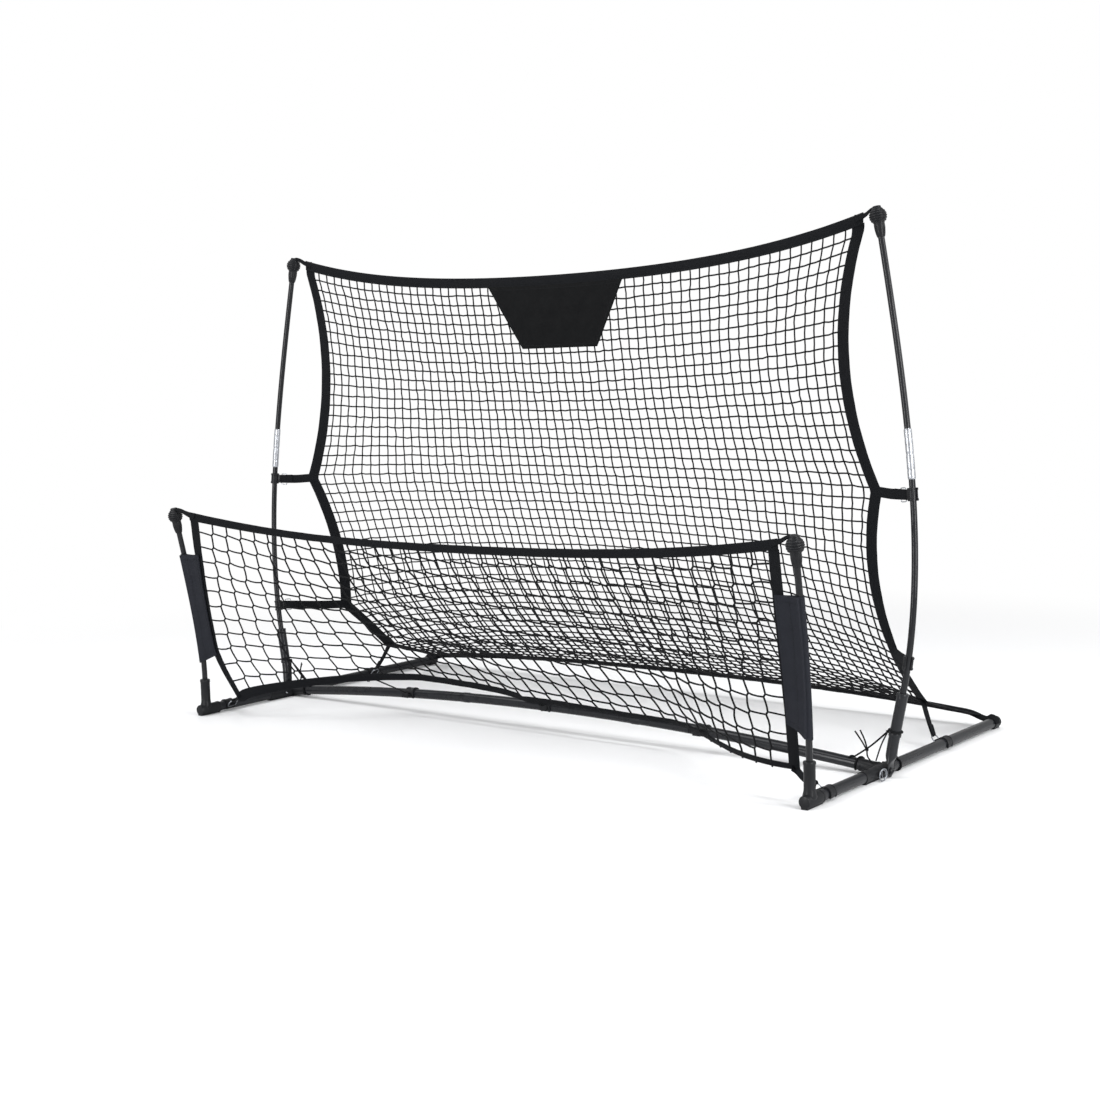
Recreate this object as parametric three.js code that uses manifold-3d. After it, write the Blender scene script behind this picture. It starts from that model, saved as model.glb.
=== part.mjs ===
// A pitch back rebounder: a low front net and a tall rear net on a tube frame whose rear half folds down.
// Millimetres, +Z up, +Y to the rear, +X to the right. The origin is on the ground under the middle of its box.
// Every right-hand piece is made once, and the left-hand one is its mirror image.
import * as THREE from "three";
import { mergeVertices } from "three/addons/utils/BufferGeometryUtils.js";
import Module from "manifold-3d";

const wasm = await Module();
wasm.setup();

// Base
const HALF_WIDTH = 1040; // centre plane to side tube axis
const AXIS_Z = 17; // height of the side tubes' axes
const TUBE_R = 14;
const TUBE_BORE_R = 12.5;
const SLEEVE_R = 17; // tees, brackets and rear plugs
const SOCKET_BORE_R = TUBE_R + 0.5;
const POLE_R = 8;
const POLE_BORE_R = POLE_R + 0.5;
const FOOT_WIDTH = 18;
const FOOT_HEIGHT = 6;

const TEE_Y = -472; // front pole axis
const TEE_FRONT_Y = -499.4;
const TEE_REAR_Y = -424.4;
const TEE_SOCKET_TOP_Z = 108.5;
const TEE_SOCKET_FLOOR_Z = 33;

const BRACKET_FRONT_Y = -220;
const BRACKET_REAR_Y = -75;
const CORE_FRONT_Y = -138; // solid core between the bracket's two sockets
const CORE_REAR_Y = -94;
const REAR_END_Y = 568;
const PLUG_LENGTH = 38;

const PIVOT_Y = -116;
const PIN_Y = -157;
const PIN_R = 3;
const BOLT_R = 4;

// Crossbar
const CROSSBAR_Y = -113;
const CROSSBAR_RISE = 52; // how far its middle stands above its ends
const CROSSBAR_END_X = 1016;
const CROSSBAR_JOINT_X = 320;
const SPIGOT_LENGTH = 50;
const STUB_END_X = 978;
const HEM_CLIP_X = 520;

// Front frame
const FRONT_POLE_TOP = new THREE.Vector3(1051.4, -546, 610.8);
const BALL_R = 22;
const NECK_R = 10;

// Rear frame
const UPRIGHT_FOOT = new THREE.Vector3(1066, -110, 77);
const UPRIGHT_TOP = new THREE.Vector3(1092, -105, 209.4);
const REAR_POLE_TOP = new THREE.Vector3(1010.9, -63.4, 1359.6);
const FERRULE_BOTTOM_Z = 729;
const FERRULE_TOP_Z = 850;
const FERRULE_R = 9.8;
const UPPER_CLAMP_Z = 693;
const LOWER_CLAMP_Z = 285;
const PLATE_X = [1058.5, 1064.5];

// Clamps
const CLAMP_CLEARANCE = 0.8;
const POLE_CLAMP_R = 13.5;
const POLE_CLAMP_HEIGHT = 32;
const BAR_CLAMP_WIDTH = 30;
const FRONT_CLAMP_Y = -388;
const REAR_CLAMP_Y = 239;

// Fabric
const TAPE_WIDTH = 29;
const TAPE_THICKNESS = 3;
const NET_THICKNESS = 3;
const SEAM_GAP = 1.5;
const REAR_HALF_WIDTH = 950.6; // rear net at its top corner
const FRONT_HALF_WIDTH = 967.2;
const REAR_TOP_Z = 1236; // the tall net's top row at the middle
const REAR_TOP_Y = -36.4;
const REAR_TOP_FORWARD = 13.5; // how much further forward it is at its corners
const REAR_NET_LENGTH = 1390; // down the middle, over its curve
const REAR_LIFT = 1400; // rise of a place above the top row, for each unit of v
const TOP_TAPE_HALF_LENGTH = 984;
const FRONT_NET_LENGTH = 620;
const FRONT_HEM_HALF_WIDTH = 982.8;
const PANEL_TOP = { half: 237, y: -43, z: 1235 };
const PANEL_BOTTOM = { half: 132, y: -19, z: 1075 };
const PANEL_THICKNESS = 2;
const STRAP_HALF_WIDTH = 9;
const STRAP_START = 28; // from a pole's axis to the strap in its clamp's lug
const SLEEVE_BOTTOM_Z = 165;
const SLEEVE_TOP_Z = 495;
const CLOTH_SLEEVE_R = 11;
const CLOTH_SLEEVE_BORE_R = 9;

// Crossbar spigots and pins
const SPIGOT_R = 11.9;
const SPIGOT_BORE_R = 10.4;
const CENTRE_BORE_R = 11;
const BOLT_X = [1036, 1067];
const BOLT_HEAD_X = [1065, 1071];
const BOLT_HEAD_R = 10;
const PIN_X = [1018, 1063];
const PIN_HEAD_X = [1058, 1067];
const PIN_HEAD_R = 4.5;
const PULL_RING_R = 11;
const PULL_RING_WIRE_R = 1.3;
const PULL_RING_X = 1065.5;
const HOLE_CLEARANCE = 0.3;
const CLIP_OUTER_R = 18;

const vec = (x, y, z) => new THREE.Vector3(x, y, z);
const line = (from, to) => new THREE.LineCurve3(from, to);

// ---- solids -------------------------------------------------------------------------------------

function solid(geometry) {
  const bare = new THREE.BufferGeometry();
  bare.setAttribute("position", geometry.getAttribute("position"));
  bare.setIndex(geometry.index);
  const merged = mergeVertices(bare, 1e-4);
  const triVerts = new Uint32Array(merged.index.array);
  const vertProperties = new Float32Array(merged.attributes.position.array);
  const made = new wasm.Manifold(new wasm.Mesh({ numProp: 3, vertProperties, triVerts }));
  if (made.volume() > 0) return made;
  return new wasm.Manifold(new wasm.Mesh({ numProp: 3, vertProperties, triVerts: triVerts.reverse() }));
}

function geometryOf(made) {
  const { vertProperties, triVerts } = made.getMesh();
  const geometry = new THREE.BufferGeometry();
  geometry.setAttribute("position", new THREE.BufferAttribute(vertProperties, 3));
  geometry.setIndex(new THREE.BufferAttribute(triVerts, 1));
  geometry.computeVertexNormals();
  return geometry;
}

function tubeAlong(curve, radius, { bore = 0, steps = 1, sides = 16 } = {}) {
  const outline = new THREE.Shape();
  outline.absarc(0, 0, radius, 0, 2 * Math.PI);
  if (bore > 0) {
    const hole = new THREE.Path();
    hole.absarc(0, 0, bore, 0, 2 * Math.PI);
    outline.holes.push(hole);
  }
  const settings = { extrudePath: curve, steps, curveSegments: sides / 2, bevelEnabled: false };
  return solid(new THREE.ExtrudeGeometry(outline, settings));
}

const rod = (from, to, radius, sides = 16) => tubeAlong(line(from, to), radius, { sides });

function box(low, high) {
  const geometry = new THREE.BoxGeometry(high[0] - low[0], high[1] - low[1], high[2] - low[2]);
  geometry.translate((low[0] + high[0]) / 2, (low[1] + high[1]) / 2, (low[2] + high[2]) / 2);
  return solid(geometry);
}

// A flat foot under a round sleeve, so that it stands on a face.
const foot = (frontY, rearY) =>
  box([HALF_WIDTH - FOOT_WIDTH / 2, frontY, 0], [HALF_WIDTH + FOOT_WIDTH / 2, rearY, FOOT_HEIGHT]);

// The stretch of a curve between two of its parameters.
class Stretch extends THREE.Curve {
  constructor(curve, start, end) {
    super();
    Object.assign(this, { curve, start, end });
  }
  getPoint(t, target = vec(0, 0, 0)) {
    return target.copy(this.curve.getPoint(THREE.MathUtils.lerp(this.start, this.end, t)));
  }
}

// The parameter at which a rising curve reaches a height.
function parameterAt(curve, height) {
  let low = 0;
  let high = 1;
  for (let i = 0; i < 40; i++) {
    const middle = (low + high) / 2;
    if (curve.getPoint(middle).z < height) low = middle;
    else high = middle;
  }
  return low;
}

// A closed sheet over a surface: surface(u, v) gives a point, and the sheet lies half its thickness to each side.
function sheet(surface, [u0, u1], [v0, v1], columns, rows, thickness) {
  const positions = [];
  const faces = [];
  for (const side of [1, -1]) {
    for (let j = 0; j <= rows; j++) {
      for (let i = 0; i <= columns; i++) {
        const u = THREE.MathUtils.lerp(u0, u1, i / columns);
        const v = THREE.MathUtils.lerp(v0, v1, j / rows);
        const offset = normalOf(surface, u, v).multiplyScalar((side * thickness) / 2);
        positions.push(...surface(u, v).add(offset).toArray());
      }
    }
  }
  const layer = (columns + 1) * (rows + 1);
  const at = (side, i, j) => side * layer + j * (columns + 1) + i;
  const quad = (a, b, c, d) => faces.push(a, b, c, a, c, d);
  for (let j = 0; j < rows; j++) {
    for (let i = 0; i < columns; i++) {
      quad(at(0, i, j), at(0, i + 1, j), at(0, i + 1, j + 1), at(0, i, j + 1));
      quad(at(1, i, j), at(1, i, j + 1), at(1, i + 1, j + 1), at(1, i + 1, j));
    }
  }
  for (let i = 0; i < columns; i++) {
    quad(at(0, i, 0), at(1, i, 0), at(1, i + 1, 0), at(0, i + 1, 0));
    quad(at(0, i, rows), at(0, i + 1, rows), at(1, i + 1, rows), at(1, i, rows));
  }
  for (let j = 0; j < rows; j++) {
    quad(at(0, 0, j), at(0, 0, j + 1), at(1, 0, j + 1), at(1, 0, j));
    quad(at(0, columns, j), at(1, columns, j), at(1, columns, j + 1), at(0, columns, j + 1));
  }
  return facetted(positions, faces);
}

// A closed band over a surface between an outer and an inner row of (u, v) places, mitred where the rows turn.
function band(surface, outer, inner, thickness, loop) {
  const positions = [];
  const faces = [];
  outer.forEach((place, k) => {
    for (const side of [1, -1]) {
      for (const [u, v] of [place, inner[k]]) {
        const offset = normalOf(surface, u, v).multiplyScalar((side * thickness) / 2);
        positions.push(...surface(u, v).add(offset).toArray());
      }
    }
  });
  const ring = [0, 1, 3, 2];
  const count = outer.length;
  for (let k = 0; k < (loop ? count : count - 1); k++) {
    const next = (k + 1) % count;
    ring.forEach((corner, i) => {
      const turned = ring[(i + 1) % 4];
      const [a, b, c, d] = [4 * k + corner, 4 * k + turned, 4 * next + turned, 4 * next + corner];
      faces.push(a, b, c, a, c, d);
    });
  }
  if (!loop) {
    const last = 4 * (count - 1);
    faces.push(ring[0], ring[2], ring[1], ring[0], ring[3], ring[2]);
    faces.push(last + ring[0], last + ring[1], last + ring[2], last + ring[0], last + ring[2], last + ring[3]);
  }
  return facetted(positions, faces);
}

function facetted(positions, faces) {
  const geometry = new THREE.BufferGeometry();
  geometry.setAttribute("position", new THREE.Float32BufferAttribute(positions, 3));
  geometry.setIndex(faces);
  return solid(geometry);
}

function normalOf(surface, u, v) {
  const step = 1e-3;
  const along = surface(u + step, v).sub(surface(u - step, v));
  const down = surface(u, v + step).sub(surface(u, v - step));
  return along.cross(down).normalize();
}

// A flat strap between two ends, each end a pair of points across the strap.
function strap(startPair, endPair, thickness = TAPE_THICKNESS) {
  const surface = (u, v) =>
    startPair[0].clone().lerp(startPair[1], u).lerp(endPair[0].clone().lerp(endPair[1], u), v);
  return sheet(surface, [0, 1], [0, 1], 1, 1, thickness);
}

// A turned piece whose profile of [radius, height] points is stood up along an axis through a point.
function turned(profile, place, axis, sides = 12) {
  const geometry = new THREE.LatheGeometry(
    profile.map(([radius, height]) => new THREE.Vector2(radius, height)),
    sides,
  );
  geometry.applyQuaternion(new THREE.Quaternion().setFromUnitVectors(vec(0, 1, 0), axis));
  geometry.translate(...place.toArray());
  return solid(geometry);
}

// ---- curves -------------------------------------------------------------------------------------

const frontPoleFoot = vec(HALF_WIDTH, TEE_Y, TEE_SOCKET_FLOOR_Z + 1);
const frontPoleBend = vec(HALF_WIDTH, TEE_Y, TEE_SOCKET_TOP_Z);
const frontPoleCurve = new THREE.CubicBezierCurve3(
  frontPoleBend,
  vec(HALF_WIDTH, TEE_Y, 273),
  vec(1048, -513.5, 446),
  FRONT_POLE_TOP,
);

const uprightAxis = UPRIGHT_TOP.clone().sub(UPRIGHT_FOOT).normalize();
const rearPoleCurve = new THREE.CubicBezierCurve3(
  UPRIGHT_TOP,
  UPRIGHT_TOP.clone().addScaledVector(uprightAxis, 350),
  vec(1087.8, -78, 943.6),
  REAR_POLE_TOP,
);

class CrossbarArc extends THREE.Curve {
  constructor(startX, endX) {
    super();
    Object.assign(this, { startX, endX });
  }
  getPoint(t, target = vec(0, 0, 0)) {
    const x = THREE.MathUtils.lerp(this.startX, this.endX, t);
    return target.set(x, CROSSBAR_Y, crossbarHeight(x));
  }
}

function crossbarHeight(x) {
  return AXIS_Z + CROSSBAR_RISE * (1 - (x / HALF_WIDTH) ** 2);
}

// ---- net surfaces: u runs from -1 at the left edge to 1 at the right, v from 0 at the top to 1 at the hem ----

// The rear net's side edge hangs in spans between the points where it is tied, each drawn in by its sag.
const rearTies = [
  vec(REAR_HALF_WIDTH, -49.9, 1328),
  vec(989, -37.4, 693),
  vec(977.6, 78, 274.9),
  vec(966.2, 263.1, 117.9),
  vec(993.2, 559.5, 29.5),
];
const rearSags = [64, 34, 6, 12];

class TiedEdge extends THREE.Curve {
  getPoint(t, target = vec(0, 0, 0)) {
    const span = Math.min(Math.floor(t * rearSags.length), rearSags.length - 1);
    const s = t * rearSags.length - span;
    target.lerpVectors(rearTies[span], rearTies[span + 1], s);
    target.x -= 4 * rearSags[span] * s * (1 - s);
    return target;
  }
}
const rearEdge = new TiedEdge();
const rearMiddle = new THREE.CubicBezierCurve3(
  vec(0, REAR_TOP_Y, REAR_TOP_Z),
  vec(0, 72.8, 472.5),
  vec(0, 216.3, 215.6),
  vec(0, 549.1, 65.9),
);

// How the tall net's rows rise from the middle, 0, to the edge, 1.
const rise = (u) => 0.63 * u ** 2 + 0.37 * u ** 4;

function rearSurface(u, v) {
  const t = THREE.MathUtils.clamp(v, 0, 1);
  const edge = rearEdge.getPointAt(t);
  const middle = rearMiddle.getPointAt(t);
  const g = rise(u);
  return vec(
    edge.x * u,
    THREE.MathUtils.lerp(middle.y, edge.y, g),
    THREE.MathUtils.lerp(middle.z, edge.z, g) - (v - t) * REAR_LIFT,
  );
}

// The front net hangs from a sagging top edge. Its hem is tied to the crossbar, and its left half bulges up.
function frontSurface(u, v) {
  const topX = FRONT_HALF_WIDTH * u;
  const a = (topX / HALF_WIDTH) ** 2;
  const top = vec(topX, -523.5 + 62 * a - 102 * a * a, 557.4 + 28 * a + 39 * a * a);
  const hemX = FRONT_HEM_HALF_WIDTH * u;
  const outward = THREE.MathUtils.clamp((Math.abs(hemX) - 437) / 546, 0, 1);
  const hemY = -142 - 297 * Math.sin((Math.PI / 2) * outward) ** 1.5;
  const bulge = Math.sin(Math.PI * THREE.MathUtils.clamp((-hemX - 52) / 915, 0, 1)) ** 0.6;
  const hem = vec(hemX, hemY, 65 + 14 * Math.exp(-((hemX / 260) ** 2)) + 42 * bulge);
  const belly = 1 - u * u;
  const profile = new THREE.CubicBezierCurve3(
    top,
    top.clone().lerp(hem, 1 / 3).add(vec(6 * u, -12 - 57 * belly, 0)),
    top.clone().lerp(hem, 2 / 3).add(vec(14 * u, -12 - 24 * belly, 0)),
    hem,
  );
  return profile.getPoint(v);
}

// ---- pieces -------------------------------------------------------------------------------------

function sideTube(frontY, rearY) {
  return tubeAlong(line(vec(HALF_WIDTH, frontY, AXIS_Z), vec(HALF_WIDTH, rearY, AXIS_Z)), TUBE_R, {
    bore: TUBE_BORE_R,
  });
}

function sideTubeFront() {
  const pinHole = rod(vec(1000, PIN_Y, AXIS_Z), vec(1080, PIN_Y, AXIS_Z), PIN_R + HOLE_CLEARANCE, 12);
  return sideTube(TEE_FRONT_Y + 7, CORE_FRONT_Y - 0.5).subtract(pinHole);
}

function frontTee() {
  const sleeve = rod(vec(HALF_WIDTH, TEE_FRONT_Y, AXIS_Z), vec(HALF_WIDTH, TEE_REAR_Y, AXIS_Z), SLEEVE_R);
  const socket = rod(vec(HALF_WIDTH, TEE_Y, AXIS_Z), vec(HALF_WIDTH, TEE_Y, TEE_SOCKET_TOP_Z), TUBE_R);
  const tubeBore = rod(
    vec(HALF_WIDTH, TEE_FRONT_Y + 6.5, AXIS_Z),
    vec(HALF_WIDTH, TEE_REAR_Y + 1, AXIS_Z),
    SOCKET_BORE_R,
  );
  const poleBore = rod(
    vec(HALF_WIDTH, TEE_Y, TEE_SOCKET_FLOOR_Z),
    vec(HALF_WIDTH, TEE_Y, TEE_SOCKET_TOP_Z + 1),
    POLE_BORE_R,
  );
  return sleeve.add(foot(TEE_FRONT_Y, TEE_REAR_Y)).add(socket).subtract(tubeBore).subtract(poleBore);
}

function rearEndPlug() {
  const start = REAR_END_Y - PLUG_LENGTH;
  const cap = rod(vec(HALF_WIDTH, start, AXIS_Z), vec(HALF_WIDTH, REAR_END_Y, AXIS_Z), SLEEVE_R);
  const bore = rod(vec(HALF_WIDTH, start - 1, AXIS_Z), vec(HALF_WIDTH, REAR_END_Y - 5, AXIS_Z), SOCKET_BORE_R);
  return cap.add(foot(start, REAR_END_Y)).subtract(bore);
}

function frontPole() {
  const path = new THREE.CurvePath();
  path.add(line(frontPoleFoot, frontPoleBend));
  path.add(frontPoleCurve);
  return tubeAlong(path, POLE_R, { steps: 8, sides: 10 });
}

// A ball with a neck and a blind bore for a pole that ends at its middle.
function ballEnd(place, axis) {
  const profile = [
    [0, 0.5],
    [POLE_BORE_R, 0.5],
    [POLE_BORE_R, -48],
    [NECK_R, -48],
    [NECK_R, -Math.sqrt(BALL_R ** 2 - NECK_R ** 2)],
  ];
  for (const degrees of [-40, -15, 10, 35, 60]) {
    const angle = THREE.MathUtils.degToRad(degrees);
    profile.push([BALL_R * Math.cos(angle), BALL_R * Math.sin(angle)]);
  }
  profile.push([0, BALL_R]);
  return turned(profile, place, axis);
}

function junctionBracket() {
  const along = (from, to, radius) =>
    rod(vec(HALF_WIDTH, from, AXIS_Z), vec(HALF_WIDTH, to, AXIS_Z), radius);
  const slope = (2 * CROSSBAR_RISE) / HALF_WIDTH;
  const stubAt = (x) => vec(x, CROSSBAR_Y, AXIS_Z + slope * (HALF_WIDTH - x));
  const pinHole = rod(vec(1000, PIN_Y, AXIS_Z), vec(1080, PIN_Y, AXIS_Z), PIN_R + HOLE_CLEARANCE, 12);
  const boltHole = rod(vec(1034, PIVOT_Y, AXIS_Z), vec(1080, PIVOT_Y, AXIS_Z), BOLT_R + HOLE_CLEARANCE, 12);
  return along(BRACKET_FRONT_Y, BRACKET_REAR_Y, SLEEVE_R)
    .add(foot(BRACKET_FRONT_Y, BRACKET_REAR_Y))
    .add(rod(stubAt(HALF_WIDTH - 4), stubAt(STUB_END_X), SLEEVE_R))
    .subtract(along(BRACKET_FRONT_Y - 1, CORE_FRONT_Y, SOCKET_BORE_R))
    .subtract(along(CORE_REAR_Y, BRACKET_REAR_Y + 1, SOCKET_BORE_R))
    .subtract(rod(stubAt(CROSSBAR_END_X + 1), stubAt(STUB_END_X - 2), SOCKET_BORE_R))
    .subtract(pinHole)
    .subtract(boltHole);
}

function pivotBolt() {
  const shank = rod(vec(BOLT_X[0], PIVOT_Y, AXIS_Z), vec(BOLT_X[1], PIVOT_Y, AXIS_Z), BOLT_R, 12);
  const head = rod(vec(BOLT_HEAD_X[0], PIVOT_Y, AXIS_Z), vec(BOLT_HEAD_X[1], PIVOT_Y, AXIS_Z), BOLT_HEAD_R);
  return shank.add(head);
}

function barLockPin() {
  const shank = rod(vec(PIN_X[0], PIN_Y, AXIS_Z), vec(PIN_X[1], PIN_Y, AXIS_Z), PIN_R, 12);
  const head = rod(vec(PIN_HEAD_X[0], PIN_Y, AXIS_Z), vec(PIN_HEAD_X[1], PIN_Y, AXIS_Z), PIN_HEAD_R, 12);
  const ring = new THREE.TorusGeometry(PULL_RING_R, PULL_RING_WIRE_R, 5, 14);
  ring.scale(1, 1.2, 1);
  ring.rotateY(Math.PI / 2);
  ring.rotateX(Math.PI / 2);
  ring.translate(PULL_RING_X, PIN_Y - 10, AXIS_Z);
  return shank.add(head).add(solid(ring));
}

const crossbarSide = () =>
  tubeAlong(new CrossbarArc(CROSSBAR_JOINT_X + 0.3, CROSSBAR_END_X), TUBE_R, { bore: TUBE_BORE_R, steps: 4 });

function crossbarCentre() {
  const reach = CROSSBAR_JOINT_X + SPIGOT_LENGTH;
  const core = tubeAlong(new CrossbarArc(-reach, reach), SPIGOT_R, { bore: SPIGOT_BORE_R, steps: 4 });
  const skin = tubeAlong(new CrossbarArc(-CROSSBAR_JOINT_X, CROSSBAR_JOINT_X), TUBE_R, { bore: CENTRE_BORE_R, steps: 4 });
  return core.add(skin);
}

// A ring that is open towards -Z, round the X axis, with a lug that carries a strap.
function openRing(boreR, outerR, width, openAngle, lugLow, lugHigh) {
  const ring = new THREE.Shape();
  const start = -Math.PI / 2 + openAngle / 2;
  const end = (3 * Math.PI) / 2 - openAngle / 2;
  ring.absarc(0, 0, outerR, start, end, false);
  ring.absarc(0, 0, boreR, end, start, true);
  ring.closePath();
  const geometry = new THREE.ExtrudeGeometry(ring, { depth: width, curveSegments: 8, bevelEnabled: false });
  geometry.translate(0, 0, -width / 2);
  geometry.rotateX(Math.PI / 2);
  geometry.rotateZ(Math.PI / 2);
  return solid(geometry).add(box(lugLow, lugHigh));
}

const placed = (made, x, y, z) => made.translate([x, y, z]);

// A clip on the crossbar: its foot reaches forward to the front net's hem.
function hemClip(x, hemY) {
  const reach = hemY - CROSSBAR_Y;
  const clip = openRing(SOCKET_BORE_R, CLIP_OUTER_R, 34, 1.6, [-14, reach, -8], [14, -SOCKET_BORE_R - 1, 6]);
  const slope = THREE.MathUtils.radToDeg(Math.atan((2 * CROSSBAR_RISE * x) / HALF_WIDTH ** 2));
  return placed(clip.rotate([0, slope, 0]), x, CROSSBAR_Y, crossbarHeight(x));
}

// A clip on a side tube: the ring is turned to lie round the Y axis, with its lug towards the centre plane.
function barClamp(y) {
  const clip = openRing(SOCKET_BORE_R, CLIP_OUTER_R, BAR_CLAMP_WIDTH, 2.1, [-11, SOCKET_BORE_R + 1, -2], [11, 27, 4]);
  return placed(clip.rotate([0, 0, 90]), HALF_WIDTH, y, AXIS_Z);
}

// A clip on a rear pole, turned to lie round the pole, with its lug towards the net.
function poleClamp(height) {
  const t = parameterAt(rearPoleCurve, height);
  const boreR = POLE_R + CLAMP_CLEARANCE;
  const lug = [[-10, boreR + 1, -3], [10, 24, 3]];
  const clip = openRing(boreR, POLE_CLAMP_R, POLE_CLAMP_HEIGHT, 1.5, ...lug);
  const axis = rearPoleCurve.getTangent(t);
  const towardNet = vec(-1, 0.35, 0).projectOnPlane(axis).normalize();
  const frame = new THREE.Matrix4().makeBasis(axis, towardNet, axis.clone().cross(towardNet));
  frame.setPosition(rearPoleCurve.getPoint(t));
  return clip.transform(frame.elements);
}

function uprightTube() {
  const [innerX, outerX] = PLATE_X;
  const tube = rod(UPRIGHT_FOOT, UPRIGHT_TOP, TUBE_R);
  const collarAt = UPRIGHT_FOOT.clone().addScaledVector(uprightAxis, 26);
  const collar = rod(collarAt, collarAt.clone().addScaledVector(uprightAxis, 9), TUBE_R + 2);
  const plate = box([innerX, PIVOT_Y - 15, AXIS_Z], [outerX, PIVOT_Y + 15, 96]);
  const plateEnd = rod(vec(innerX, PIVOT_Y, AXIS_Z), vec(outerX, PIVOT_Y, AXIS_Z), 15);
  const boltHole = rod(vec(innerX - 5, PIVOT_Y, AXIS_Z), vec(outerX + 5, PIVOT_Y, AXIS_Z), BOLT_R + 0.4, 12);
  const boreFloor = UPRIGHT_TOP.clone().addScaledVector(uprightAxis, -92);
  const bore = rod(boreFloor, UPRIGHT_TOP.clone().addScaledVector(uprightAxis, 1), POLE_BORE_R);
  return tube.add(collar).add(plate).add(plateEnd).subtract(boltHole).subtract(bore);
}

const ferruleMiddle = parameterAt(rearPoleCurve, (FERRULE_BOTTOM_Z + FERRULE_TOP_Z) / 2);

function lowerPole() {
  const path = new THREE.CurvePath();
  path.add(line(UPRIGHT_TOP.clone().addScaledVector(uprightAxis, -90), UPRIGHT_TOP));
  path.add(new Stretch(rearPoleCurve, 0, ferruleMiddle - 0.001));
  return tubeAlong(path, POLE_R, { steps: 10, sides: 10 });
}

const upperPole = () =>
  tubeAlong(new Stretch(rearPoleCurve, ferruleMiddle + 0.001, 1), POLE_R, { steps: 8, sides: 10 });

function ferrule() {
  const ends = [FERRULE_BOTTOM_Z, FERRULE_TOP_Z].map((height) => parameterAt(rearPoleCurve, height));
  return tubeAlong(new Stretch(rearPoleCurve, ...ends), FERRULE_R, { bore: POLE_BORE_R, steps: 2, sides: 12 });
}

// The tape along the top of the tall net, which ends beside the two balls.
function rearTopTape() {
  const surface = (u, v) => {
    const x = TOP_TAPE_HALF_LENGTH * u;
    const spread = (rearTies[0].z - REAR_TOP_Z) * rise(x / REAR_HALF_WIDTH);
    return vec(x, REAR_TOP_Y - REAR_TOP_FORWARD * (x / REAR_HALF_WIDTH) ** 2, REAR_TOP_Z + 2 + spread + TAPE_WIDTH * (1 - v));
  };
  return sheet(surface, [-1, 1], [0, 1], 14, 1, TAPE_THICKNESS);
}

const halfTape = (halfWidth) => TAPE_WIDTH / 2 / halfWidth;

// Places down the right side of a border, across its hem and up the left side.
function borderPlaces(u, top, bottom, [hemSteps, sideSteps]) {
  const down = [];
  for (let i = 0; i < sideSteps; i++) down.push([u, THREE.MathUtils.lerp(top, bottom, i / sideSteps)]);
  const across = [];
  for (let i = 0; i <= hemSteps; i++) across.push([u * (1 - (2 * i) / hemSteps), bottom]);
  const up = down.map(([x, v]) => [-x, v]).reverse();
  return [...down, ...across, ...up];
}

// Each net's steps across and down match its border's, so that their edges run side by side.
const REAR_HEM_V = TAPE_WIDTH / REAR_NET_LENGTH;
const REAR_TOP_V = 0.004;
const REAR_STEPS = [12, 16];
const FRONT_HEM_V = TAPE_WIDTH / FRONT_NET_LENGTH;
const FRONT_STEPS = [18, 6];

function rearEdgeTape() {
  const half = halfTape(REAR_HALF_WIDTH);
  const outer = borderPlaces(1 + half, REAR_TOP_V, 1, REAR_STEPS);
  const inner = borderPlaces(1 - half, REAR_TOP_V, 1 - REAR_HEM_V, REAR_STEPS);
  return band(rearSurface, outer, inner, TAPE_THICKNESS, false);
}

function rearNet() {
  const reach = 1 - halfTape(REAR_HALF_WIDTH) - SEAM_GAP / REAR_HALF_WIDTH;
  const rows = [REAR_TOP_V, 1 - REAR_HEM_V - SEAM_GAP / REAR_NET_LENGTH];
  return sheet(rearSurface, [-reach, reach], rows, ...REAR_STEPS, NET_THICKNESS);
}

function frontBorderTape() {
  const half = halfTape(FRONT_HALF_WIDTH);
  const ring = (u, top, bottom) => {
    const places = borderPlaces(u, top, bottom, FRONT_STEPS);
    const columns = FRONT_STEPS[0];
    for (let i = 1; i < columns; i++) places.push([u * ((2 * i) / columns - 1), top]);
    return places;
  };
  const outer = ring(1 + half, -FRONT_HEM_V / 2, 1);
  const inner = ring(1 - half, FRONT_HEM_V / 2, 1 - FRONT_HEM_V);
  return band(frontSurface, outer, inner, TAPE_THICKNESS, true);
}

function frontNet() {
  const reach = 1 - halfTape(FRONT_HALF_WIDTH) - SEAM_GAP / FRONT_HALF_WIDTH;
  const seam = SEAM_GAP / FRONT_NET_LENGTH;
  const rows = [FRONT_HEM_V / 2 + seam, 1 - FRONT_HEM_V - seam];
  return sheet(frontSurface, [-reach, reach], rows, ...FRONT_STEPS, NET_THICKNESS);
}

// The panel sewn to the front of the tall net's top.
function targetPanel() {
  const outline = (u, v) => {
    const { lerp } = THREE.MathUtils;
    const half = lerp(PANEL_TOP.half, PANEL_BOTTOM.half, v);
    return vec(half * u, lerp(PANEL_TOP.y, PANEL_BOTTOM.y, v), lerp(PANEL_TOP.z, PANEL_BOTTOM.z, v));
  };
  return sheet(outline, [-1, 1], [0, 1], 2, 2, PANEL_THICKNESS);
}

const upDown = (point, half) => [point.clone().add(vec(0, 0, half)), point.clone().add(vec(0, 0, -half))];

// A strap from a pole clamp's lug to the edge tape at one of its ties.
function sideStrap(clampHeight, tie) {
  const t = parameterAt(rearPoleCurve, clampHeight);
  const clamp = rearPoleCurve.getPoint(t);
  const towardNet = tie.clone().sub(clamp).normalize();
  const start = clamp.addScaledVector(towardNet, STRAP_START);
  const end = tie.clone().addScaledVector(towardNet, -TAPE_WIDTH / 2 - 4);
  return strap(upDown(start, STRAP_HALF_WIDTH), upDown(end, STRAP_HALF_WIDTH));
}

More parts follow.
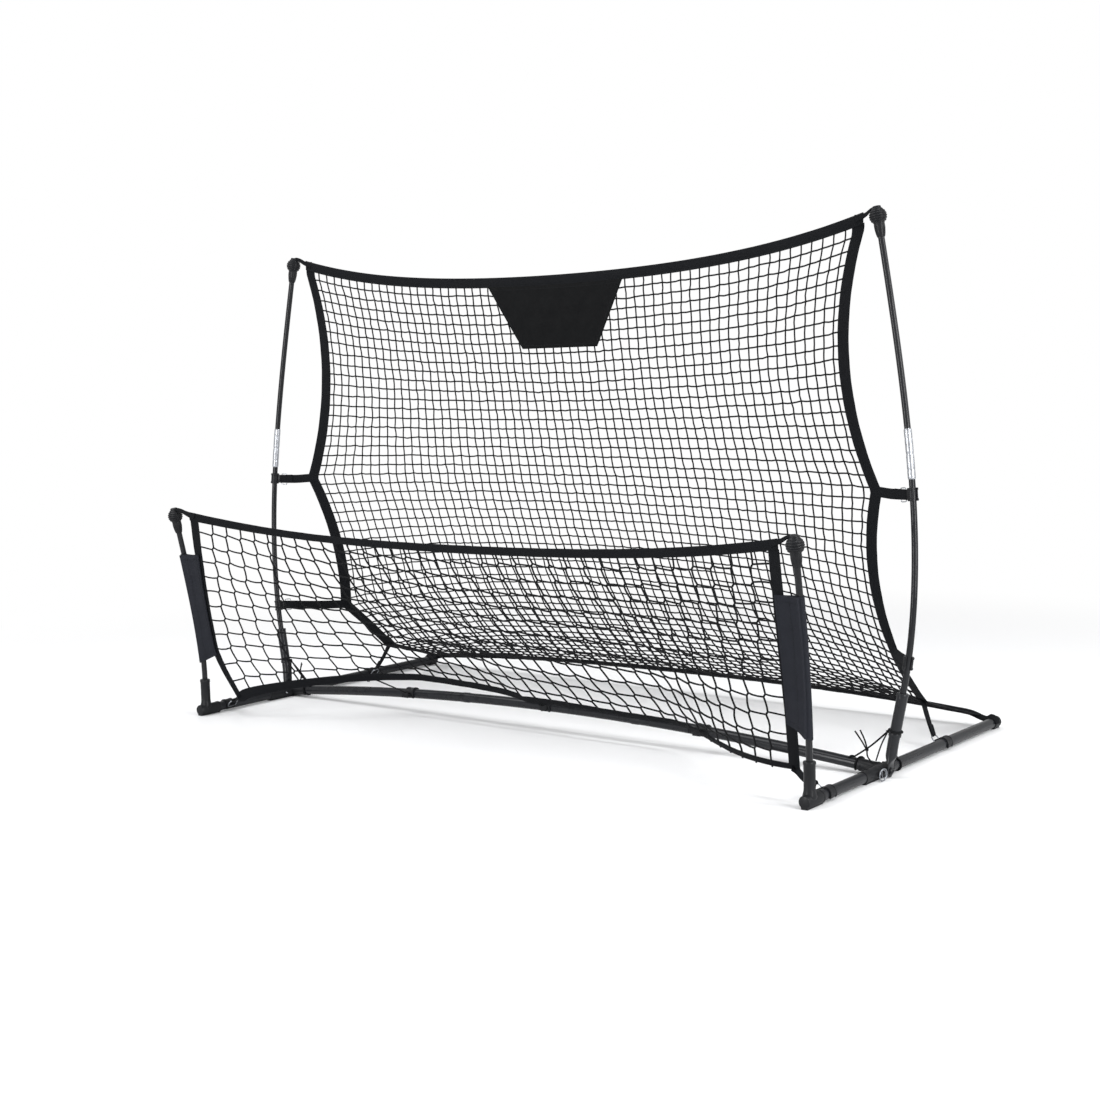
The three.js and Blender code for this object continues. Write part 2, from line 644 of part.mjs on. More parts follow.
function bottomStrap() {
  const start = vec(1010, REAR_CLAMP_Y, 26);
  const end = rearTies[3].clone().add(vec(20, -3, -10));
  const across = (point) => [-1, 1].map((side) => point.clone().add(vec(0, side * STRAP_HALF_WIDTH, 0)));
  return strap(across(start), across(end));
}

function cornerStrap() {
  const start = vec(1010, FRONT_CLAMP_Y, 22);
  const end = vec(1001, -432, 58);
  const across = (point) => [point.clone().add(vec(0, -9, 5)), point.clone().add(vec(0, 9, -5))];
  return strap(across(start), across(end));
}

// The sleeve that ties the front net's side to its pole: a fabric tube round the pole and a web to the tape.
function poleSleeve() {
  const [bottom, top] = [SLEEVE_BOTTOM_Z, SLEEVE_TOP_Z].map((height) => parameterAt(frontPoleCurve, height));
  const wrap = tubeAlong(new Stretch(frontPoleCurve, bottom, top), CLOTH_SLEEVE_R, {
    bore: CLOTH_SLEEVE_BORE_R,
    steps: 3,
    sides: 12,
  });
  const surface = (u, v) => {
    const pole = frontPoleCurve.getPoint(THREE.MathUtils.lerp(top, bottom, v)).add(vec(-10, 0, 0));
    const tapeV = THREE.MathUtils.lerp(0.2, 0.82 - 0.04, v);
    const tape = frontSurface(1 + halfTape(FRONT_HALF_WIDTH) * 1.3, tapeV);
    return tape.lerp(pole, u);
  };
  return wrap.add(sheet(surface, [0, 1], [0, 1], 1, 5, NET_THICKNESS));
}

// A cord tied from the crossbar up to the upright's collar and down again to the side tube.
function lashingCord() {
  const route = new THREE.CatmullRomCurve3([
    vec(952, CROSSBAR_Y, 42),
    vec(1000, -108, 76),
    vec(1050, -98, 108),
    vec(1062, -86, 112),
    vec(1076, -86, 108),
    vec(1066, -62, 70),
    vec(1042, -42, 34.5),
  ]);
  return tubeAlong(route, 2, { steps: 16, sides: 8 });
}

// ---- materials ----------------------------------------------------------------------------------

const material = (color, roughness, metalness) =>
  new THREE.MeshStandardMaterial({ color, roughness, metalness, side: THREE.DoubleSide });

const blackSteel = material(0x141518, 0.32, 0.4);
const blackPlastic = material(0x101113, 0.48, 0);
const glassFibre = material(0x0d0e10, 0.36, 0);
const ferruleMetal = material(0x9da1a6, 0.34, 1);
const zinc = material(0xb9bcc0, 0.3, 1);
const webbing = material(0x26282d, 0.85, 0);
const netting = material(0x0f1012, 0.8, 0);
const panelCloth = material(0x15161a, 0.75, 0);
const cordBlack = material(0x121316, 0.8, 0);

// ---- assembly -----------------------------------------------------------------------------------

const rebounder = new THREE.Group();

function place(name, made, look, mirrored = false) {
  const mesh = new THREE.Mesh(geometryOf(made), look);
  mesh.name = name;
  if (mirrored) mesh.scale.x = -1;
  rebounder.add(mesh);
}

function pair(name, made, look) {
  place(`${name}_right`, made, look);
  place(`${name}_left`, made, look, true);
}

pair("side_tube_front", sideTubeFront(), blackSteel);
pair("side_tube_rear", sideTube(CORE_REAR_Y + 0.5, REAR_END_Y - 5.5), blackSteel);
pair("rear_end_plug", rearEndPlug(), blackPlastic);
pair("front_tee", frontTee(), blackPlastic);
pair("front_pole", frontPole(), glassFibre);
pair("front_ball_end", ballEnd(FRONT_POLE_TOP, frontPoleCurve.getTangent(1)), blackPlastic);
pair("junction_bracket", junctionBracket(), blackPlastic);
pair("pivot_bolt", pivotBolt(), blackSteel);
pair("bar_lock_pin", barLockPin(), zinc);
pair("crossbar", crossbarSide(), blackSteel);
place("crossbar_centre", crossbarCentre(), blackSteel);
pair("hem_clip", hemClip(HEM_CLIP_X, -148), blackPlastic);
place("hem_clip_centre", hemClip(0, -138), blackPlastic);
pair("front_bar_clamp", barClamp(FRONT_CLAMP_Y), blackPlastic);
pair("rear_bar_clamp", barClamp(REAR_CLAMP_Y), blackPlastic);

pair("upright_tube", uprightTube(), blackSteel);
pair("lower_pole", lowerPole(), glassFibre);
pair("ferrule", ferrule(), ferruleMetal);
pair("upper_pole", upperPole(), glassFibre);
pair("pole_ball_end", ballEnd(REAR_POLE_TOP, rearPoleCurve.getTangent(1)), blackPlastic);
pair("upper_pole_clamp", poleClamp(UPPER_CLAMP_Z), blackPlastic);
pair("lower_pole_clamp", poleClamp(LOWER_CLAMP_Z), blackPlastic);

place("rear_net", rearNet(), netting);
place("rear_top_tape", rearTopTape(), webbing);
place("rear_edge_tape", rearEdgeTape(), webbing);
place("target_panel", targetPanel(), panelCloth);
pair("upper_strap", sideStrap(UPPER_CLAMP_Z, rearTies[1]), webbing);
pair("lower_strap", sideStrap(LOWER_CLAMP_Z, rearTies[2]), webbing);
pair("bottom_strap", bottomStrap(), webbing);
place("front_net", frontNet(), netting);
place("front_border_tape", frontBorderTape(), webbing);
pair("pole_sleeve", poleSleeve(), webbing);
pair("corner_strap", cornerStrap(), webbing);
pair("lashing_cord", lashingCord(), cordBlack);

export default rebounder;
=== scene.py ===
"""The looks of a pitch back rebounder: two nets on a folding frame of steel tubes and glass-fibre rods."""

import math

import bmesh
import bpy
import numpy as np
from bpy.props import FloatProperty, FloatVectorProperty, IntProperty, PointerProperty
from mathutils import Matrix, Vector


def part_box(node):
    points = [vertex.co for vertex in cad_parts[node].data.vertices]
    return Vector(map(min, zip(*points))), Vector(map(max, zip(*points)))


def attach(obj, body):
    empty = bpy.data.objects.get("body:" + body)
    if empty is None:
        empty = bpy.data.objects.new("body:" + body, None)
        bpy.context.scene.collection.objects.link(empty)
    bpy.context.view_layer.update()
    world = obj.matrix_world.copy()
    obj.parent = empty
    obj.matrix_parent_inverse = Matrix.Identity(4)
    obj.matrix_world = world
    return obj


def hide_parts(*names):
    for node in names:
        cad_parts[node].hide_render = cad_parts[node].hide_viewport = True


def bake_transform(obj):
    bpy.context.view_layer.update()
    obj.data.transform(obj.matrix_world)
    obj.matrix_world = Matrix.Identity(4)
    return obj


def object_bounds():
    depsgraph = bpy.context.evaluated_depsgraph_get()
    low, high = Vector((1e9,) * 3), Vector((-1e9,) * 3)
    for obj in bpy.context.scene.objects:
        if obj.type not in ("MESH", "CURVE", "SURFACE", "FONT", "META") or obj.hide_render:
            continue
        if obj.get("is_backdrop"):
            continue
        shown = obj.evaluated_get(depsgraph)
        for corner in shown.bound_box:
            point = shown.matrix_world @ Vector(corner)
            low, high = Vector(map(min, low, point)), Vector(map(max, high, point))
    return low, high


bl_info = {
    "name": "Pitch Back Rebounder",
    "version": (1, 0, 0),
    "blender": (4, 5, 0),
    "location": "View3D > Sidebar > Rebounder",
    "description": "Builds the nets, tapes, tubes, rods and fittings of a pitch back rebounder",
    "category": "Add Mesh",
}

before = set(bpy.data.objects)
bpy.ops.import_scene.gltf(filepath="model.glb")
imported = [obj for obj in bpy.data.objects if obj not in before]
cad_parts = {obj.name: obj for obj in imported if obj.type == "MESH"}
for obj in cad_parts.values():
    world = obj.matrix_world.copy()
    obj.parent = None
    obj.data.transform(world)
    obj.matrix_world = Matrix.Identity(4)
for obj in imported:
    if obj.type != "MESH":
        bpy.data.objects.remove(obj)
CAD_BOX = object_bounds()

# ---- places taken from the frame, in metres ---------------

SIDES = (("right", 1.0), ("left", -1.0))


def point(x, y, z):
    return np.array((x, y, z), float)


def middle_of(node):
    low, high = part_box(node)
    return (low + high) / 2


def size_of(node):
    low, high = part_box(node)
    return high - low


RAIL_X = middle_of("side_tube_rear_right").x
RAIL_Z = middle_of("side_tube_rear_right").z
TUBE_R = size_of("side_tube_rear_right").x / 2
SLEEVE_R = 0.0158
POLE_R = 0.008
PIVOT = Vector((0, middle_of("pivot_bolt_right").y, RAIL_Z))
PIN_Y = -0.157
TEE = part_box("front_tee_right")
TEE_Y = -0.472
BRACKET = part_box("junction_bracket_right")
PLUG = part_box("rear_end_plug_right")
CROSSBAR_Y = middle_of("crossbar_right").y
CROSSBAR_RISE = 0.052
CROSSBAR_JOINT_X = 0.32
STUB_END_X = 0.978
HEM_CLIP_X = 0.52
FRONT_CLAMP_Y = middle_of("front_bar_clamp_right").y
REAR_CLAMP_Y = middle_of("rear_bar_clamp_right").y
UPRIGHT_FOOT = point(1.066, -0.110, 0.077)
UPRIGHT_TOP = point(1.092, -0.105, 0.2094)
UPRIGHT_AXIS = (UPRIGHT_TOP - UPRIGHT_FOOT) / np.linalg.norm(UPRIGHT_TOP - UPRIGHT_FOOT)
REAR_POLE_TOP = point(1.0109, -0.0634, 1.3596)
FRONT_POLE_TOP = point(1.0514, -0.546, 0.6108)
UPPER_CLAMP_Z = 0.693
LOWER_CLAMP_Z = 0.285
FERRULE_Z = (0.729, 0.850)
REAR_HALF_WIDTH = 0.9506
FRONT_HALF_WIDTH = 0.9672
REAR_TOP_Z = 1.236
REAR_LENGTH = 1.39
FRONT_LENGTH = 0.62

# Where the tall net's side edge is tied, and how far each span between two ties is drawn in.
REAR_TIES = np.array((
    (REAR_HALF_WIDTH, -0.0499, 1.328),
    (0.989, -0.0374, 0.693),
    (0.9776, 0.078, 0.2749),
    (0.9662, 0.2631, 0.1179),
    (0.9932, 0.5595, 0.0295),
))
REAR_SAGS = (0.064, 0.034, 0.006, 0.012)

# How much further out the front net's right top corner is pulled.
RIGHT_REACH = 0.028

# How far the front net's left bottom corner is drawn in.
LEFT_CORNER_PULL = (0.070, 0.0, -0.018)

# The tall net turns over to the fixed base between its bottom corner and its lower tie.
FOLD_START = (0, 0.2631, 0.1179)
FOLD_END = (0, 0.078, 0.2749)

# ---- settings ---------------------------------------------


def length(name, description, default):
    return FloatProperty(name=name, description=description, default=default, min=0.0, unit="LENGTH")


def colour(name, description, default):
    return FloatVectorProperty(
        name=name, description=description, default=default, size=4, min=0, max=1, subtype="COLOR"
    )


def power(name, description, default):
    return FloatProperty(name=name, description=description, default=default, unit="POWER")


class ReboundNetSettings(bpy.types.PropertyGroup):
    """Counts, thicknesses and colour of the two nets."""

    rear_columns: IntProperty(name="Tall net columns", description="Meshes across the tall net", default=62)
    rear_rows: IntProperty(name="Tall net rows", description="Meshes down the tall net", default=50)
    front_columns: IntProperty(name="Front net columns", description="Meshes across the net", default=36)
    front_rows: IntProperty(name="Front net rows", description="Meshes down the front net", default=12)
    rear_twine: length("Tall net twine", "Thickness of the tall net's twine", 0.0043)
    front_twine: length("Front net twine", "Thickness of the front net's twine", 0.0048)
    slack: length("Slack", "How far a knot may sit out of line", 0.0018)
    twine_colour: colour("Twine", "Colour of both nets", (0.0035, 0.0037, 0.0042, 1))


class ReboundFabricSettings(bpy.types.PropertyGroup):
    """Sizes and colours of the tapes, straps, sleeves, panel and cords."""

    tape_width: length("Tape width", "Width of the border tapes", 0.029)
    tape_thickness: length("Tape thickness", "Thickness of a folded and sewn tape", 0.0026)
    strap_width: length("Strap width", "Width of the straps to the rods", 0.026)
    stitch_pitch: length("Stitch pitch", "Distance from one stitch to the next", 0.0046)
    cord: length("Cord", "Thickness of the lashing cord", 0.0046)
    webbing_colour: colour("Webbing", "Colour of tapes and straps", (0.0042, 0.0046, 0.0056, 1))
    panel_colour: colour("Panel", "Colour of the target panel", (0.0022, 0.0024, 0.0028, 1))
    sleeve_colour: colour("Sleeves", "Colour of the cloth sleeves", (0.0125, 0.0135, 0.0175, 1))
    thread_colour: colour("Thread", "Colour of the sewing thread", (0.012, 0.013, 0.015, 1))


class ReboundFrameSettings(bpy.types.PropertyGroup):
    """Smoothness and colours of the tubes, rods and fittings."""

    round_sides: IntProperty(name="Round sides", description="Faces round a tube", default=48, min=12)
    rib_depth: length("Rib depth", "Depth of the grooves round the ball ends", 0.0021)
    steel_colour: colour("Steel", "Powder coat on the tubes", (0.0075, 0.0080, 0.0095, 1))
    plastic_colour: colour("Plastic", "Moulded fittings", (0.0065, 0.0068, 0.0078, 1))
    rod_colour: colour("Rods", "Glass-fibre rods", (0.0055, 0.0058, 0.0068, 1))
    ferrule_colour: colour("Ferrules", "Steel sleeves on the rods", (0.30, 0.31, 0.33, 1))
    zinc_colour: colour("Zinc", "Pins, rings and sliders", (0.24, 0.25, 0.27, 1))


class ReboundStageSettings(bpy.types.PropertyGroup):
    """The floor and lights."""

    floor_size: length("Floor size", "Width of the floor", 60.0)
    floor_colour: colour("Floor", "Pale floor", (0.86, 0.865, 0.875, 1))
    key_power: power("Key light", "Power of the large soft light", 145)
    strip_power: power("Strip lights", "Power of the tall lights for each square metre", 42)
    fill_power: power("Fill light", "Power of the low fill light", 45)


# ---- shapes -----------------------------------------------


def unit(v):
    v = np.asarray(v, float)
    return v / np.maximum(np.linalg.norm(v, axis=-1, keepdims=True), 1e-12)


class Shape:
    """The closed skins of one piece. Each face has a finish number and its place on the cloth or tube."""

    def __init__(self):
        self.points, self.faces, self.places, self.finishes = [], [], [], []
        self.count = 0

    def add(self, points, faces, places=None, finish=0):
        points = np.asarray(points, float).reshape(-1, 3)
        faces = [list(f) for f in faces]
        if places is None:
            places = [[(0.0, 0.0)] * len(f) for f in faces]
        if enclosed_volume(points, faces) < 0:
            faces = [f[::-1] for f in faces]
            places = [p[::-1] for p in places]
        self.points.append(points)
        self.faces += [[i + self.count for i in f] for f in faces]
        self.places += places
        self.finishes += [finish] * len(faces)
        self.count += len(points)
        return self

    def mirrored(self, sign):
        """The same shape, or its mirror image in the centre plane when sign is -1."""
        if sign > 0:
            return self
        other = Shape()
        other.points = [p * point(-1, 1, 1) for p in self.points]
        other.faces = [f[::-1] for f in self.faces]
        other.places = [p[::-1] for p in self.places]
        other.finishes, other.count = list(self.finishes), self.count
        return other

    def build(self, name, materials, sharp_degrees=38):
        mesh = bpy.data.meshes.new(name)
        mesh.from_pydata(np.concatenate(self.points).tolist(), [], self.faces)
        flat = np.array([xy for face in self.places for xy in face], np.float32)
        mesh.uv_layers.new(name="cloth").data.foreach_set("uv", flat.ravel())
        mesh.polygons.foreach_set("material_index", self.finishes)
        mesh.polygons.foreach_set("use_smooth", [True] * len(self.faces))
        mesh.set_sharp_from_angle(angle=math.radians(sharp_degrees))
        for material in materials:
            mesh.materials.append(material)
        made = bpy.data.objects.new(name, mesh)
        bpy.context.scene.collection.objects.link(made)
        return made


def enclosed_volume(points, faces):
    total = 0.0
    quads = np.array([f for f in faces if len(f) == 4], int).reshape(-1, 4)
    if len(quads):
        a, b, c, d = (points[quads[:, i]] for i in range(4))
        total += np.einsum("ij,ij->", a, np.cross(b, c)) + np.einsum("ij,ij->", a, np.cross(c, d))
    for f in faces:
        if len(f) != 4:
            for i in range(1, len(f) - 1):
                total += np.dot(points[f[0]], np.cross(points[f[i]], points[f[i + 1]]))
    return total


def frames_along(path, up=None):
    """Two unit directions across a path at each point, carried along without twist unless up is given."""
    tangents = unit(np.gradient(path, axis=0))
    if up is not None:
        side = unit(np.cross(tangents, np.broadcast_to(up, path.shape)))
        return side, np.cross(side, tangents)
    start = point(0, 0, 1.0) if abs(tangents[0][2]) < 0.8 else point(0, 1.0, 0)
    ups = [unit(start - tangents[0] * np.dot(start, tangents[0]))]
    for t in tangents[1:]:
        ups.append(unit(ups[-1] - t * np.dot(ups[-1], t)))
    ups = np.array(ups)
    return np.cross(tangents, ups), ups


def skin(rings, closed_path=False, caps=True):
    """Faces and cloth places of a skin through rings of points: rings is (stations, points round, 3)."""
    stations, around, _ = rings.shape
    rows = stations if closed_path else stations - 1
    i, j = np.meshgrid(np.arange(rows), np.arange(around), indexing="ij")
    nxt_i, nxt_j = (i + 1) % stations, (j + 1) % around
    faces = np.stack(
        (i * around + j, i * around + nxt_j, nxt_i * around + nxt_j, nxt_i * around + j), -1
    ).reshape(-1, 4)
    along = np.concatenate(((0,), np.cumsum(np.linalg.norm(np.diff(rings.mean(1), axis=0), axis=1))))
    along = np.append(along, along[-1] + 0.01)
    edge = np.linalg.norm(np.roll(rings[0], -1, 0) - rings[0], axis=1)
    across = np.concatenate(((0,), np.cumsum(edge)))
    corners = np.stack(
        (
            np.stack((across[j], along[i]), -1),
            np.stack((across[j + 1], along[i]), -1),
            np.stack((across[j + 1], along[i + 1]), -1),
            np.stack((across[j], along[i + 1]), -1),
        ),
        -2,
    ).reshape(-1, 4, 2)
    faces, places = faces.tolist(), corners.tolist()
    if caps and not closed_path:
        for ring in (range(around - 1, -1, -1), range((stations - 1) * around, stations * around)):
            faces.append(list(ring))
            places.append([(0.0, 0.0)] * around)
    return faces, places


def add_sweep(shape, path, section, up=None, closed_path=False, finish=0):
    """A skin round a path. section is (points, 2), or one such outline for each point of the path."""
    path = np.asarray(path, float)
    section = np.asarray(section, float)
    side, ups = frames_along(path, up)
    rings = path[:, None] + section[..., 0:1] * side[:, None] + section[..., 1:2] * ups[:, None]
    faces, places = skin(rings, closed_path)
    return shape.add(rings, faces, places, finish)


def circle(radius, sides):
    angle = np.linspace(0, 2 * math.pi, sides, endpoint=False)
    return np.stack((np.cos(angle), np.sin(angle)), -1) * radius


def add_tube(shape, path, radius, sides=32, up=None, closed_path=False, finish=0):
    """A round tube or rod. radius is one number, or one for each point of the path."""
    ring = circle(1.0, sides)
    radii = np.broadcast_to(np.asarray(radius, float), (len(path),))
    return add_sweep(shape, path, ring[None] * radii[:, None, None], up, closed_path, finish)


def add_turned(shape, profile, place, axis, sides=48, finish=0):
    """A turned skin whose (radius, height) profile is stood up along an axis through a place."""
    axis = unit(axis)
    helper = point(1.0, 0, 0) if abs(axis[0]) < 0.8 else point(0, 1.0, 0)
    a = unit(np.cross(axis, helper))
    b = np.cross(axis, a)
    ring = circle(1.0, sides)
    profile = np.maximum(np.asarray(profile, float), [[1e-4, -9.0]])
    across = ring[:, 0:1] * a + ring[:, 1:2] * b
    rings = np.asarray(place, float) + profile[:, None, 0:1] * across + profile[:, None, 1:2] * axis
    faces, places = skin(rings)
    return shape.add(rings, faces, places, finish)


def add_block(shape, low, high, bevel=0.0012, finish=0, turn=None):
    """A block with rounded edges, turned by a matrix if one is given."""
    bm = bmesh.new()
    bmesh.ops.create_cube(bm, size=1)
    low, high = Vector(low), Vector(high)
    for v in bm.verts:
        v.co = Vector((low[k] + (v.co[k] + 0.5) * (high[k] - low[k]) for k in range(3)))
    bmesh.ops.bevel(bm, geom=bm.edges[:], offset=bevel, segments=3, profile=0.5, affect="EDGES")
    if turn is not None:
        bmesh.ops.transform(bm, matrix=turn, verts=bm.verts[:])
    bm.verts.index_update()
    points = [tuple(v.co) for v in bm.verts]
    faces = [[v.index for v in f.verts] for f in bm.faces]
    bm.free()
    return shape.add(points, faces, None, finish)


def ball_template():
    """A small round skin of 26 points and 24 four-sided faces."""
    points, index = [], {}
    for x in (-1, 0, 1):
        for y in (-1, 0, 1):
            for z in (-1, 0, 1):
                if (x, y, z) != (0, 0, 0):
                    index[(x, y, z)] = len(points)
                    points.append(unit((x, y, z)))
    faces = []
    for axis in range(3):
        first, second = [k for k in range(3) if k != axis]
        for end in (-1, 1):
            for p in (-1, 0):
                for q in (-1, 0):
                    corners = []
                    for dp, dq in ((0, 0), (1, 0), (1, 1), (0, 1)):
                        place = [0, 0, 0]
                        place[axis], place[first], place[second] = end, p + dp, q + dq
                        corners.append(index[tuple(place)])
                    if (end > 0) == (axis == 1):
                        corners.reverse()
                    faces.append(corners)
    return np.array(points), np.array(faces)


BALL_POINTS, BALL_FACES = ball_template()


def add_beads(shape, places, axes, finish=0):
    """Many small rounded beads: knots, rivets or stitches. axes is (count, 3, 3), the half lengths."""
    places, axes = np.asarray(places, float), np.asarray(axes, float)
    points = places[:, None] + np.einsum("vk,nkc->nvc", BALL_POINTS, axes)
    faces = BALL_FACES[None] + np.arange(len(places))[:, None, None] * len(BALL_POINTS)
    return shape.add(points, faces.reshape(-1, 4).tolist(), None, finish)


def smooth_path(points, count, closed=False):
    """A rounded route through a few points, evenly spaced."""
    points = np.asarray(points, float)
    if closed:
        points = np.concatenate((points[-1:], points, points[:2]))
    else:
        points = np.concatenate((2 * points[:1] - points[1:2], points, 2 * points[-1:] - points[-2:-1]))
    fine = []
    for k in range(1, len(points) - 2):
        p0, p1, p2, p3 = points[k - 1 : k + 3]
        for t in np.linspace(0, 1, 24, endpoint=False):
            fine.append(
                0.5 * (2 * p1 + (p2 - p0) * t + (2 * p0 - 5 * p1 + 4 * p2 - p3) * t**2
                       + (3 * p1 - p0 - 3 * p2 + p3) * t**3)
            )
    fine.append(points[-2])
    return evenly(np.array(fine), count)[: -1 if closed else None]


def evenly(points, count):
    lengths = np.concatenate(((0,), np.cumsum(np.linalg.norm(np.diff(points, axis=0), axis=1))))
    wanted = np.linspace(0, lengths[-1], count)
    return np.stack([np.interp(wanted, lengths, points[:, k]) for k in range(3)], -1)


def line(start, end, count=2):
    return np.linspace(np.asarray(start, float), np.asarray(end, float), count)


def rail(y0, y1, count=2):
    return line((RAIL_X, y0, RAIL_Z), (RAIL_X, y1, RAIL_Z), count)


# ---- the rods' and nets' curves ---------------------------


def bezier(p0, p1, p2, p3, t):
    t = np.asarray(t, float)[..., None]
    return (1 - t) ** 3 * p0 + 3 * (1 - t) ** 2 * t * p1 + 3 * (1 - t) * t**2 * p2 + t**3 * p3


def rear_pole(t):
    return bezier(
        UPRIGHT_TOP, UPRIGHT_TOP + UPRIGHT_AXIS * 0.35, point(1.0878, -0.078, 0.9436), REAR_POLE_TOP, t
    )


FRONT_POLE_BEND = point(RAIL_X, TEE_Y, TEE[1].z)


def front_pole(t):
    return bezier(
        FRONT_POLE_BEND,
        point(RAIL_X, TEE_Y, 0.273),
        point(1.048, -0.5135, 0.446),
        FRONT_POLE_TOP,
        t,
    )


def parameter_at(curve, height):
    t = np.linspace(0, 1, 2001)
    return float(np.interp(height, curve(t)[:, 2], t))


def stretch(curve, low_z, high_z, count):
    """A curve's points between two heights."""
    return curve(np.linspace(parameter_at(curve, low_z), parameter_at(curve, high_z), count))


def crossbar_points(x0, x1, count=24):
    x = np.linspace(x0, x1, count)
    return np.stack((x, np.full(count, CROSSBAR_Y), crossbar_height(x)), -1)


def crossbar_height(x):
    return RAIL_Z + CROSSBAR_RISE * (1 - (x / RAIL_X) ** 2)


def rise(u):
    return 0.63 * u**2 + 0.37 * u**4


class EvenCurve:
    """A curve whose parameter runs with its length."""

    def __init__(self, points):
        self.points = points
        steps = np.linalg.norm(np.diff(points, axis=0), axis=1)
        self.share = np.concatenate(((0,), np.cumsum(steps) / steps.sum()))

    def __call__(self, v):
        return np.stack([np.interp(v, self.share, self.points[:, k]) for k in range(3)], -1)


def tied_edge():
    spans = []
    for k, sag in enumerate(REAR_SAGS):
        s = np.linspace(0, 1, 200)[:, None]
        span = REAR_TIES[k] * (1 - s) + REAR_TIES[k + 1] * s
        span[:, 0:1] -= 4 * sag * s * (1 - s)
        spans.append(span)
    return EvenCurve(np.concatenate(spans))


REAR_EDGE = tied_edge()
REAR_MIDDLE = EvenCurve(
    bezier(
        point(0, -0.0364, REAR_TOP_Z),
        point(0, 0.0728, 0.4725),
        point(0, 0.2163, 0.2156),
        point(0, 0.5491, 0.0659),
        np.linspace(0, 1, 1200),
    )
)


def rear_surface(u, v):
    """The tall net: u from -1 at its left edge to 1 at its right, v from 0 at the top to 1 at the hem."""
    u, v = np.broadcast_arrays(np.asarray(u, float), np.asarray(v, float))
    inside = np.clip(v, 0, 1)
    edge, middle = REAR_EDGE(inside), REAR_MIDDLE(inside)
    g = rise(u)
    y = middle[..., 1] + (edge[..., 1] - middle[..., 1]) * g
    z = middle[..., 2] + (edge[..., 2] - middle[..., 2]) * g - (v - inside) * 1.4
    return np.stack((edge[..., 0] * u, y, z), -1)


def front_surface(u, v):
    """The front net, whose left half bulges up between its ties."""
    u, v = np.broadcast_arrays(np.asarray(u, float), np.asarray(v, float))
    top_x = FRONT_HALF_WIDTH * u
    a = (top_x / RAIL_X) ** 2
    top = np.stack((top_x, -0.5235 + 0.062 * a - 0.102 * a * a, 0.5574 + 0.028 * a + 0.039 * a * a), -1)
    hem_x = 0.9828 * u
    outward = np.clip((np.abs(hem_x) - 0.437) / 0.546, 0, 1)
    hem_y = -0.142 - 0.297 * np.sin(math.pi / 2 * outward) ** 1.5
    bulge = np.sin(math.pi * np.clip((-hem_x - 0.052) / 0.915, 0, 1)) ** 0.6
    hem = np.stack((hem_x, hem_y, 0.065 + 0.014 * np.exp(-((hem_x / 0.26) ** 2)) + 0.042 * bulge), -1)
    belly = 1 - u * u
    zero = np.zeros_like(u)
    first = top + (hem - top) / 3 + np.stack((0.006 * u, -0.012 - 0.057 * belly, zero), -1)
    second = top + (hem - top) * 2 / 3 + np.stack((0.014 * u, -0.012 - 0.024 * belly, zero), -1)
    t = v[..., None]
    place = (1 - t) ** 3 * top + 3 * (1 - t) ** 2 * t * first + 3 * (1 - t) * t**2 * second + t**3 * hem
    # The left bottom corner is drawn in and down by its strap.
    place[..., 0] += RIGHT_REACH * np.maximum(u, 0) ** 3 * (1 - v)
    drawn = np.clip((v - 0.74) / 0.26, 0, 1.05) ** 1.3 * np.clip((-u - 0.62) / 0.38, 0, 1.05) ** 1.5
    return place + drawn[..., None] * np.array(LEFT_CORNER_PULL)


def normal_of(surface, u, v):
    step = 1e-3
    along = surface(u + step, v) - surface(u - step, v)
    down = surface(u, np.asarray(v) + step) - surface(u, np.asarray(v) - step)
    return unit(np.cross(along, down))


# ---- finishes ---------------------------------------------


